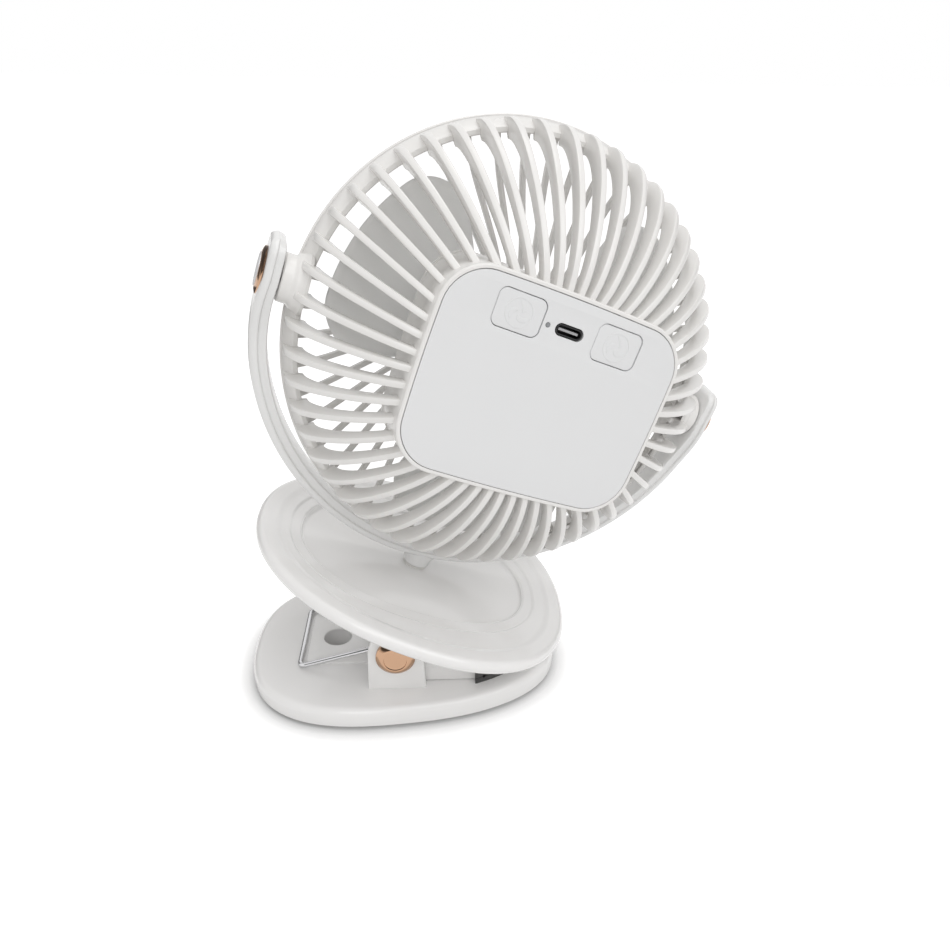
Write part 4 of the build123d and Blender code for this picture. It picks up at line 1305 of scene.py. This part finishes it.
# ---- head ----
@dataclass
class RearGrille:
    """Band, blade ribs, control housing and trunnion bosses."""

    radius: float = 75.7
    wall: float = 2.5
    band_rear: float = -4.1
    band_front: float = 1.25
    band_lean: float = 2.9
    seam: float = 0.6
    spigot_room: float = 2.9
    rib_count: int = 52
    rib_thickness: float = 2.1
    rib_corner: float = 0.5
    rib_depth: float = 5.0
    root_widening: float = 1.2
    root_extra: float = 1.2
    shoulder_reach: float = 15.0
    crown_reach: float = 19.0
    crown_end: float = 4.0
    crown_depth: float = -41.5
    root_inset: float = 0.75
    panel_width: float = 79.6
    panel_height: float = 61.7
    panel_corner: float = 12.0
    panel_bulge: float = 0.9
    panel_x: float = -0.1
    panel_z: float = -1.3
    panel_face: float = -42.6
    panel_thickness: float = 2.0
    bezel: float = 1.5
    housing_front: float = -20.0
    ledge: float = 1.0
    boss_radius: float = 7.6
    boss_end: float = 79.0
    trunnion_rise: float = 2.9
    body: str = "head"

    def outline(self, grow: float, depth: float = 0.0) -> Ring:
        """Plan of the panel with bowed sides, grown, at a depth.

        Args:
            grow: How far it is grown.
            depth: Its place along Y.

        Returns:
            The ring, in the head's axes.
        """
        half_x = self.panel_width / 2 + grow - self.panel_bulge
        half_z = self.panel_height / 2 + grow - self.panel_bulge
        ring = []
        for x, z in rounded_box(2 * half_x, 2 * half_z, self.panel_corner + grow):
            bow_x = 1 + self.panel_bulge / half_x * (1 - (z / half_z) ** 2)
            bow_z = 1 + self.panel_bulge / half_z * (1 - (x / half_x) ** 2)
            ring.append(Vector((self.panel_x + x * bow_x, depth, self.panel_z + z * bow_z)))
        return ring

    def rails(self) -> list[tuple[tuple[float, float], tuple[float, float], float]]:
        """Outer point, inner point and thickness of a rib, from the band to the housing.

        Returns:
            These three for each station, as radius and depth.
        """
        outer = self.radius - self.root_inset
        inner = outer - self.rib_depth - self.root_extra
        inside = self.panel_height / 2 - self.panel_bulge
        crown, crown_in = self.crown_depth, self.crown_depth + self.rib_depth
        rear, reach = self.band_rear, self.shoulder_reach
        end, wide = inside + self.crown_end, inside + self.crown_reach
        outs = ((outer, rear), (outer, rear - reach), (wide, crown), (end, crown))
        ins = ((inner, rear), (inner, rear - reach + self.rib_depth / 2),
               (wide - self.rib_depth / 2, crown_in), (end, crown_in))
        root = self.rib_thickness * self.root_widening
        bore = self.radius - self.wall
        rails = []
        for depth, within in ((self.band_front - 0.7, bore + 0.1), (rear * 0.4, bore + 0.1),
                              (rear * 0.55, bore - 0.9)):
            rails.append(((outer, depth), (within, depth), root))
        steps = 26
        for step in range(steps + 1):
            share = step / steps
            widening = max(1 - share * 3, 0)
            thickness = self.rib_thickness + (root - self.rib_thickness) * widening
            rails.append((bezier(outs, share), bezier(ins, share), thickness))
        rails.append(((inside, crown), (inside, crown_in), self.rib_thickness))
        return rails

    def rib(self) -> Surface:
        """One blade rib with rounded edges, above the axis.

        Returns:
            The first rib, of which the others are copies.
        """
        rings = []
        for first, second, thickness in self.rails():
            out, inn = Vector((first[0], first[1])), Vector((second[0], second[1]))
            half = thickness / 2
            along = (inn - out).normalized()
            depth = (inn - out).length
            corner = min(self.rib_corner, depth * 0.4)
            ring = []
            for side, reach, start in ((half, 0.0, 0), (-half, 0.0, 90), (-half, depth, 180),
                                       (half, depth, 270)):
                middle_side = side - corner * (1 if side > 0 else -1)
                middle_reach = reach + corner * (1 if reach == 0 else -1)
                for across, inwards in arc((middle_side, -middle_reach), corner, start,
                                           start + 90, 2):
                    ring.append((out - along * inwards, across))
            rings.append([Vector((side, point.y, point.x)) for point, side in ring])
        return skinned(rings, caps=True)

    def band(self) -> Surface:
        """The band: a bore for the front ring's spigot and a face that leans in to the rear.

        Returns:
            The band's surface, in the head's axes.
        """
        bore, rear, lean = self.radius - self.wall, self.band_rear, self.band_lean
        ledge = self.band_front - self.spigot_room
        outer = self.radius - self.seam
        profile = [
            (bore, self.band_front), (outer - 0.25, self.band_front),
            (outer, self.band_front - 0.25), (outer, self.band_front - 0.6),
            (outer - lean + 0.25, rear + 0.35), (outer - lean - 0.15, rear),
            (bore - lean + 0.45, rear), (bore - lean + 0.2, rear + 0.25),
            (bore - 1.4, ledge - 0.2), (bore - 1.2, ledge), (bore, ledge),
        ]
        return turned(profile, along_y, steps=208, tube=True)

    def housing(self) -> Surface:
        """The control housing, a deep tray with a rounded bezel round the panel.

        Returns:
            The tray's surface, in the head's axes.
        """
        face, soft = self.panel_face, 0.7
        rows = [(-self.ledge, self.housing_front), (self.bezel, self.housing_front)]
        rows += arc((self.bezel - soft, face + soft), soft, 0, -90, 6)
        rows += [(0.35, face), (0.22, face + 0.12), (0.2, face + self.panel_thickness),
                 (-self.ledge, face + self.panel_thickness)]
        rings = [self.outline(grow, depth) for grow, depth in rows]
        return skinned(rings, tube=True)

    def boss(self, side: int) -> Surface:
        """A trunnion boss that flares into the band, on the plus or minus X side.

        Args:
            side: 1 or -1, for plus or minus X.

        Returns:
            The boss's surface, in the head's axes.
        """
        end, radius = self.boss_end, self.boss_radius
        profile = [(0, end), (radius - 0.5, end), (radius, end - 0.4), (radius, end - 3.0),
                   (radius + 0.15, end - 3.6), (radius + 0.9, end - 4.2), (radius + 1.1, end - 4.8),
                   (radius + 1.6, end - 6.0), (radius + 2.6, end - 7.2), (radius + 2.6, end - 8.2)]
        surface = turned([(r, side * reach) for r, reach in profile], along_x)
        for point in surface.points:
            point.z += self.trunnion_rise
        return surface

    def build(self) -> None:
        """Builds and dresses the rear grille."""
        axes, white = Axes.HEAD.matrix(), Look.GRILLE
        ribs = circle_of_copies(self.rib(), self.rib_count, white)
        mount(ribs, "rear_ribs", axes, white, self.body, "rear_grille")
        for name, surface in (
            ("rear_band", self.band()), ("control_housing", self.housing()),
            ("boss_left", self.boss(-1)), ("boss_right", self.boss(1)),
        ):
            mount(surface, name, axes, white, self.body)


@dataclass
class FrontGrille:
    """Ring, ribs that curl near the disc, and the centre disc in front of the impeller."""

    radius: float = 75.7
    wall: float = 2.5
    rear: float = 1.85
    lip: float = 4.1
    spigot_rear: float = -0.8
    spigot_wall: float = 1.2
    rib_count: int = 46
    rib_thickness: float = 2.0
    rib_depth: float = 3.0
    dome_rise: float = 15.0
    sweep: float = 25.0
    sweep_power: float = 1.9
    first_angle: float = 1.7
    look_ahead: float = 0.02
    disc_radius: float = 15.0
    body: str = "head"

    def dome(self, radius: float) -> float:
        """Depth of the dome's outer face at a radius.

        Args:
            radius: Distance from the head's axis.

        Returns:
            The depth along the head's axis.
        """
        base = self.radius - self.wall
        sphere = (base ** 2 + self.dome_rise ** 2) / (2 * self.dome_rise)
        return self.lip - 1.0 + self.dome_rise - sphere + sqrt(sphere ** 2 - radius ** 2)

    def turn(self, share: float) -> float:
        """Angle of a rib at a share of its way out: it curls near the disc only."""
        left = max(1 - share, 0.0)
        return radians(self.first_angle + self.sweep * (1 - left ** self.sweep_power))

    def rib(self) -> Surface:
        """One rib with rounded edges.

        Returns:
            The first rib, of which the others are copies.
        """
        rings, steps = [], 22
        inner, outer = self.disc_radius - 1, self.radius - self.wall - 0.4
        half = self.rib_thickness / 2
        for step in range(steps + 1):
            share = step / steps
            radius = inner + (outer - inner) * share
            next_share = share + self.look_ahead
            next_radius = inner + (outer - inner) * next_share
            angle, ahead = self.turn(share), self.turn(next_share)
            here = Vector((radius * cos(angle), radius * sin(angle)))
            there = Vector((next_radius * cos(ahead), next_radius * sin(ahead)))
            across = (there - here).normalized().orthogonal()
            depth = self.dome(radius)
            ring = []
            for turn in range(0, 360, 36):
                side = across * (half * cos(radians(turn)))
                lift = depth - self.rib_depth / 2 + self.rib_depth / 2 * self.squared(turn)
                point = here + side
                ring.append(Vector((point.x, lift, point.y)))
            rings.append(ring)
        return skinned(rings, caps=True)

    @staticmethod
    def squared(turn: float) -> float:
        """Sine with flatter tops, for the sides of a rib."""
        value = sin(radians(turn))
        return abs(value) ** 0.5 * (1 if value >= 0 else -1)

    def ring(self) -> Surface:
        """The outer ring with its spigot.

        Returns:
            The ring's surface, in the head's axes.
        """
        radius, inner = self.radius, self.radius - self.wall - 0.2
        profile = [(inner, self.rear), (radius - 0.3, self.rear), (radius, self.rear + 0.3),
                   (radius, self.lip - 1.2)]
        profile += arc((radius - 1.2, self.lip - 1.2), 1.2, 0, 90, 6)[1:]
        profile += [(inner - self.spigot_wall + 0.4, self.lip),
                    (inner - self.spigot_wall, self.lip - 0.4),
                    (inner - self.spigot_wall, self.spigot_rear), (inner, self.spigot_rear)]
        return turned(profile, along_y, steps=208, tube=True)

    def disc(self) -> Surface:
        """The centre disc, domed with the ribs.

        Returns:
            The disc's surface, in the head's axes.
        """
        profile = [(0, self.dome(0) - self.rib_depth)]
        edge = self.disc_radius
        profile += [(edge - 0.4, self.dome(edge) - self.rib_depth),
                    (edge, self.dome(edge) - self.rib_depth + 0.4), (edge, self.dome(edge) - 0.6)]
        profile += [(edge - 0.2, self.dome(edge) - 0.15), (edge - 0.7, self.dome(edge - 0.7))]
        profile += [(edge * share, self.dome(edge * share)) for share in (0.8, 0.6, 0.4, 0.2, 0)]
        return turned(profile, along_y)

    def build(self) -> None:
        """Builds and dresses the front grille."""
        axes, white = Axes.HEAD.matrix(), Look.GRILLE
        ribs = circle_of_copies(self.rib(), self.rib_count, white)
        mount(ribs, "front_ribs", axes, white, self.body, "front_grille")
        mount(self.ring(), "front_ring", axes, white, self.body)
        mount(self.disc(), "front_disc", axes, white, self.body)


@dataclass
class ControlPanel:
    """Panel plate with its two buttons, port and light."""

    grille: RearGrille
    button_x: float = 16.8
    button_z: float = 20.5
    button_width: float = 15.4
    button_height: float = 11.2
    button_corner: float = 2.4
    button_depth: float = 4.0
    groove: float = 0.2
    port_x: float = 0.2
    port_z: float = 20.0
    port_width: float = 9.6
    port_height: float = 3.8
    light_x: float = -7.15
    light_diameter: float = 1.5
    mark_radius: float = 3.5
    mark_ring: float = 4.5
    mark_line: float = 0.5
    mark_rise: float = 0.12
    mark_hub: float = 0.7
    mark_sink: float = 0.1
    vane_count: int = 3
    vane_start: float = 20.0
    vane_sweep: float = 75.0
    body: str = "head"

    def window(self, side: int, grow: float) -> list[tuple[float, float]]:
        """Outline of a button, grown, on the left or right."""
        return rounded_box(self.button_width + 2 * grow, self.button_height + 2 * grow,
                           self.button_corner + grow, (side * self.button_x, self.button_z))

    def plate(self) -> bpy.types.Mesh:
        """The plate with its windows.

        Returns:
            The plate's mesh, in the head's axes.
        """
        rim = [(point.x, point.z) for point in self.grille.outline(0)]
        port = rounded_box(self.port_width, self.port_height, self.port_height / 2 - 0.01,
                           (self.port_x, self.port_z))
        light = arc((self.light_x, self.port_z), self.light_diameter / 2, 0, 345, 23)
        windows = [self.window(side, self.groove) for side in (-1, 1)]
        face = self.grille.panel_face
        return soft_plate("panel_plate", [rim, *windows, port, light], face,
                          face + self.grille.panel_thickness - 0.05, 0.16)

    def vane(self, center: tuple[float, float], start: float) -> list[tuple[float, float]]:
        """Outline of one vane of a button's pinwheel, from its angle at the hub.

        Args:
            center: The pinwheel's middle.
            start: That angle, in degrees.

        Returns:
            The outline's points, out along one edge and back along the other.
        """
        leading, trailing = [], []
        steps = 8
        for step in range(steps + 1):
            share = step / steps
            radius = self.mark_hub + (self.mark_radius - self.mark_hub) * share
            turn = radians(start + self.vane_sweep * share)
            width = radians(8 + 52 * sin(pi * min(share * 0.85 + 0.08, 1)))
            for row, angle in ((leading, turn + width / 2), (trailing, turn - width / 2)):
                row.append((center[0] + radius * cos(angle), center[1] + radius * sin(angle)))
        return leading + trailing[::-1]

    def mark(self, side: int, name: str, depth: float) -> bpy.types.Mesh:
        """A faint raised pinwheel in a ring on a button.

        Args:
            side: 1 or -1, for the button at plus or minus X.
            name: The mesh's name.
            depth: Place of the button's face along Y.

        Returns:
            The mark's mesh, in the head's axes.
        """
        center = (side * self.button_x, self.button_z)
        lines = [arc(center, self.mark_ring - inset, 0, 354, 59) for inset in (0, self.mark_line)]
        lines += [self.vane(center, 360 / self.vane_count * vane + self.vane_start)
                  for vane in range(self.vane_count)]
        return soft_plate(name, lines, depth - self.mark_rise, depth + self.mark_sink, 0.1)

    def build(self) -> None:
        """Builds and dresses the panel and what shows in it."""
        axes = Axes.HEAD.matrix()
        mount(self.plate(), "panel_plate", axes, Look.PANEL, self.body, "rear_panel")
        depth = self.grille.panel_face + 0.25
        for side, button in ((-1, "power_button"), (1, "speed_button")):
            cap, mark = f"{button}_cap", f"{button}_mark"
            plate = soft_plate(cap, [self.window(side, 0)], depth, depth + self.button_depth, 0.35)
            mount(plate, cap, axes, Look.PANEL, button, button)
            mount(self.mark(side, mark, depth), mark, axes, Look.PANEL, button)
        for look, node in (
            (Look.SWITCH, "tact_switches"), (Look.BOARD, "circuit_board"),
            (Look.PORT_SHELL_SHADE, "usb_c_shell"), (Look.TONGUE, "usb_c_tongue"),
            (Look.LIGHT_PIPE, "led_light_pipe"), (Look.CELL, "battery_cell"),
            (Look.GRILLE, "motor_mount"), (Look.MOTOR, "motor"), (Look.STEEL, "mount_screws"),
        ):
            dress(look, node)


@dataclass
class Impeller:
    """Hub cup with three wide twisted blades."""

    hub_radius: float = 19.0
    hub_wall: float = 2.2
    hub_rear: float = -8.0
    hub_front: float = 5.0
    hub_nose: float = 3.0
    boss_radius: float = 3.6
    boss_rear: float = -4.8
    blade_count: int = 3
    tip_radius: float = 65.0
    tip_angle: float = 62.0
    root_angle: float = 48.0
    bow: float = 9.0
    thickness: float = 1.5
    pitch: float = 72.0
    first_angle: float = 158.5
    corner: float = 14.0
    plane: float = -2.5
    body: str = "impeller"

    def hub(self) -> Surface:
        """The cup with a rounded nose and the boss for the shaft.

        Returns:
            The hub's surface, in the head's axes.
        """
        outer, wall, nose = self.hub_radius, self.hub_wall, self.hub_nose
        front = self.hub_front
        profile = [(0, self.boss_rear), (self.boss_radius, self.boss_rear),
                   (self.boss_radius, front - wall), (outer - wall, front - wall),
                   (outer - wall, self.hub_rear), (outer - 0.4, self.hub_rear),
                   (outer, self.hub_rear + 0.4)]
        profile += arc((outer - nose, front - nose), nose, 0, 90, 8)
        profile += [(outer * 0.5, front + 0.15), (0, front + 0.25)]
        return turned(profile, along_y)

    def blade(self) -> Surface:
        """One blade about +X, as a thin closed shell with rounded corners.

        Returns:
            The blade's surface, in the head's axes.
        """
        root, tip = self.hub_radius - self.hub_wall / 2, self.tip_radius
        columns, rows = 36, 28

        def half_angle(radius: float) -> float:
            """Half the angle that the blade spans at a radius.

            Args:
                radius: Distance from the impeller's axis.

            Returns:
                The half angle, in degrees.
            """
            share = (radius - root) / (tip - root)
            straight = self.root_angle + (self.tip_angle - self.root_angle) * share
            half = straight / 2 + self.bow * (1 - (2 * share - 1) ** 2) * 0.7
            over = radius - (tip - self.corner)
            if over > 0:
                drawn_in = self.corner - sqrt(max(self.corner ** 2 - over ** 2, 0))
                half -= drawn_in / radius * 180 / pi
            return half

        def point(row: int, column: int, side: int) -> Vector:
            """A point on one of the blade's two faces.

            Args:
                row: Step from the hub to the tip.
                column: Step from one edge to the other.
                side: 1 or -1, for the face towards plus or minus Y.

            Returns:
                The point, in the head's axes.
            """
            share = sin(pi / 2 * row / rows)
            radius = root + (tip - root) * share
            across = -1 + 2 * column / columns
            angle = half_angle(radius) * across
            edge = min(1 - abs(across), (tip - radius) / tip * 3)
            thin = sqrt(min(edge * 14, 1.0)) * self.thickness / 2
            depth = self.plane - self.pitch * angle / 360 + side * thin
            turn = radians(angle)
            return Vector((radius * cos(turn), depth, radius * sin(turn)))

        surface = Surface()
        for side in (-1, 1):
            grid = [[point(row, column, side) for column in range(columns + 1)]
                    for row in range(rows + 1)]
            surface.skin(grid, closed=False)
        return surface

    def build(self) -> None:
        """Builds and dresses the impeller."""
        axes = Axes.HEAD.matrix()
        mount(self.hub(), "impeller_hub", axes, Look.BLADE, self.body, "impeller")
        blades = circle_of_copies(self.blade(), self.blade_count, Look.BLADE, self.first_angle)
        mount(blades, "impeller_blades", axes, Look.BLADE, self.body)
        dress(Look.STEEL, "motor_shaft")


# ---- studio ----
def hang(lamp: bpy.types.Light, place: Vector, aim: Vector) -> None:
    """Hangs a light that faces a point.

    Args:
        lamp: The light's data.
        place: Where it hangs.
        aim: The point that it faces.
    """
    hung = bpy.data.objects.new(lamp.name, lamp)
    hung.location = place
    hung.rotation_euler = (aim - place).to_track_quat("-Z", "Y").to_euler()
    bpy.context.scene.collection.objects.link(hung)


@dataclass(frozen=True)
class SoftBox:
    """A square area light that faces the fan, in metres and watts."""

    name: str
    place: tuple[float, float, float]
    size: float
    power: float

    def build(self, aim: Vector) -> None:
        """Hangs the light.

        Args:
            aim: The point that it faces.
        """
        lamp = bpy.data.lights.new(self.name, "AREA")
        lamp.size, lamp.energy = self.size, self.power
        hang(lamp, Vector(self.place), aim)


@dataclass(frozen=True)
class SoftSun:
    """An even light from one side, with soft shadows."""

    place: tuple[float, float, float] = (0.5, -0.6, 0.9)
    strength: float = 0.75
    spread: float = 45.0
    tint: tuple[float, float, float] = (0.985, 0.99, 1.0)

    def build(self) -> None:
        """Hangs the light."""
        lamp = bpy.data.lights.new("soft_sun", "SUN")
        lamp.energy, lamp.angle, lamp.color = self.strength, radians(self.spread), self.tint
        hang(lamp, Vector(self.place), Vector())


@dataclass(frozen=True)
class Studio:
    """White room: a floor that keeps the shadow, with a painted contact shadow added, an even sky,
    a soft sun and soft boxes.

    Glossy rays see its dark parts too: patches of the sky, and one round patch of the floor.
    """

    sky: float = 0.6
    sky_tint: tuple[float, float, float] = (1.0, 0.99, 0.98)
    floor_colour: float = 0.85
    floor_lift: float = 0.42
    # Painted contact shadow: within floor_reach, ambient occlusion to the floor_falloff power dims
    # the floor's glow, and the contact range and shade darken its colour.
    floor_reach: float = 0.009
    floor_falloff: float = 3.0
    floor_half: float = 6.0
    painted_contact_range: tuple[float, float] = (0.35, 0.75)
    painted_contact_shade: float = 0.7
    dark_floor: tuple[float, float, float] = (-0.48, 0.45, 0.0)
    dark_reach: tuple[float, float] = (0.36, 0.2)
    dark_tone: float = 0.12
    sun: SoftSun = SoftSun()
    patches: tuple[DarkPatch, ...] = (
        DarkPatch((0.8, 0.5, 0.1), 28.0, 0.85),
        DarkPatch((-0.7, 0.7, 0.0), 38.0, 0.85),
    )
    boxes: tuple[SoftBox, ...] = (
        SoftBox("over_box", (0.12, 0.12, 1.0), 0.4, 1.0),
        SoftBox("front_box", (-0.15, -0.95, 0.7), 0.4, 1.35),
    )

    def world(self) -> None:
        """White to the camera and in reflections, softer as light."""
        world = bpy.data.worlds.new("studio_sky")
        bpy.context.scene.world = world
        world.use_nodes = True
        board = NodeBoard(world.node_tree)
        output = world.node_tree.nodes["World Output"]
        light = world.node_tree.nodes["Background"]
        light.inputs["Color"].default_value = (*self.sky_tint, 1)
        light.inputs["Strength"].default_value = self.sky
        seen = board.add("ShaderNodeBackground", Strength=1.0, Color=(1, 1, 1, 1))
        eye, glossy = board.rays()
        ray = board.add("ShaderNodeTexCoord").outputs["Generated"]
        left = glossy
        for patch in self.patches:
            left = board.math("MULTIPLY", left, patch.cover(board, ray))
        straight = board.math("SUBTRACT", 1.0, glossy)
        board.join(board.math("ADD", left, straight), seen.inputs["Strength"])
        mix = board.add("ShaderNodeMixShader")
        board.join(eye, mix.inputs[0])
        board.join(light.outputs[0], mix.inputs[1])
        board.join(seen.outputs[0], mix.inputs[2])
        board.join(mix.outputs[0], output.inputs["Surface"])

    def floor(self) -> None:
        """A plain floor whose colour reaches white away from the shadow; near the fan, ambient
        occlusion darkens its colour and dims its glow, a painted contact shadow on top of the real
        one.
        """
        half = self.floor_half
        mesh = bpy.data.meshes.new("studio_floor")
        mesh.from_pydata([(-half, -half, 0), (half, -half, 0), (half, half, 0), (-half, half, 0)],
                         [], [(0, 1, 2, 3)])
        floor = bpy.data.objects.new("studio_floor", mesh)
        bpy.context.scene.collection.objects.link(floor)
        paint = bpy.data.materials.new("floor_white")
        paint.use_nodes = True
        board = NodeBoard(paint.node_tree)
        paint.node_tree.nodes.remove(paint.node_tree.nodes["Principled BSDF"])
        output = paint.node_tree.nodes["Material Output"]
        matt = board.add("ShaderNodeBsdfDiffuse")
        glow = board.add("ShaderNodeEmission")
        eye, glossy = board.rays()
        # Painted contact shadow: ambient occlusion dims the glow and darkens the floor's colour
        # near the fan.
        near = board.add("ShaderNodeAmbientOcclusion", Distance=self.floor_reach).outputs["AO"]
        lift = board.math("MULTIPLY", board.math("POWER", near, self.floor_falloff),
                          self.floor_lift)
        painted_shadow_tones = (self.floor_colour * self.painted_contact_shade, self.floor_colour)
        board.join(board.ramp(near, self.painted_contact_range, painted_shadow_tones, "LINEAR"), matt.inputs["Color"])
        board.join(board.math("MULTIPLY", eye, lift), glow.inputs["Strength"])
        both = board.add("ShaderNodeAddShader")
        board.join(matt.outputs[0], both.inputs[0])
        board.join(glow.outputs[0], both.inputs[1])
        away = board.add("ShaderNodeVectorMath", operation="DISTANCE")
        board.join(board.add("ShaderNodeNewGeometry").outputs["Position"], away.inputs[0])
        away.inputs[1].default_value = self.dark_floor
        darkness = board.ramp(away.outputs["Value"], self.dark_reach)
        dark = board.add("ShaderNodeBsdfDiffuse", Color=(self.dark_tone,) * 3 + (1,))
        mix = board.add("ShaderNodeMixShader")
        board.join(board.math("MULTIPLY", darkness, glossy), mix.inputs[0])
        board.join(both.outputs[0], mix.inputs[1])
        board.join(dark.outputs[0], mix.inputs[2])
        board.join(mix.outputs[0], output.inputs["Surface"])
        mesh.materials.append(paint)
        floor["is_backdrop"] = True

    def build(self) -> None:
        """Sets the studio up round the fan."""
        self.world()
        self.floor()
        low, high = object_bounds()
        self.sun.build()
        for box in self.boxes:
            box.build((low + high) / 2)
        log.info("studio with %d soft boxes", len(self.boxes))


@dataclass(frozen=True)
class PhotoCamera:
    """The photograph's viewpoint, in metres, degrees and pixels; the sensor in millimetres."""

    target: tuple[float, float, float] = (0.03627, 0.0, 0.04526)
    distance: float = 0.33024
    azimuth: float = 4.12
    elevation: float = 32.86
    roll: float = 1.07
    focal: float = 811.47
    center: tuple[float, float] = (490.0, 565.1)
    image: float = 950.0
    sensor: float = 36.0
    clip: tuple[float, float] = (0.01, 20.0)

    def build(self) -> None:
        """Makes the camera and looks through it."""
        turn, rise = radians(self.azimuth), radians(self.elevation)
        ahead = Vector((sin(turn) * cos(rise), cos(turn) * cos(rise), -sin(rise)))
        right = Vector((cos(turn), -sin(turn), 0))
        up = right.cross(ahead)
        roll = radians(self.roll)
        across = right * cos(roll) + up * sin(roll)
        upright = up * cos(roll) - right * sin(roll)
        lens = bpy.data.cameras.new("photo_camera")
        lens.sensor_width = self.sensor
        lens.lens = self.focal / self.image * self.sensor
        lens.shift_x = (self.image / 2 - self.center[0]) / self.image
        lens.shift_y = (self.center[1] - self.image / 2) / self.image
        lens.clip_start, lens.clip_end = self.clip
        camera = bpy.data.objects.new("photo_camera", lens)
        matrix = Matrix((across, upright, -ahead)).transposed().to_4x4()
        matrix.translation = Vector(self.target) - ahead * self.distance
        camera.matrix_world = matrix
        bpy.context.scene.collection.objects.link(camera)
        bpy.context.scene.camera = camera
        bpy.context.scene.view_settings.view_transform = "Standard"
        log.info("camera at %s", tuple(round(value, 3) for value in matrix.translation))


def corners(box: tuple[Vector, Vector]) -> list[list[float]]:
    """A box as plain lists."""
    return [list(corner) for corner in box]


def main() -> None:
    """Builds the sub-assemblies in order, then the studio and the camera."""
    logging.basicConfig(level=logging.INFO, format="%(name)s: %(message)s")
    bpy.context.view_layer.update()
    grille = RearGrille()
    for assembly in (ClipBase(), UpperJaw(), Yoke(), grille, FrontGrille(), ControlPanel(grille),
                     Impeller()):
        assembly.build()
    Studio().build()
    PhotoCamera().build()


if __name__ == "__main__":
    main()
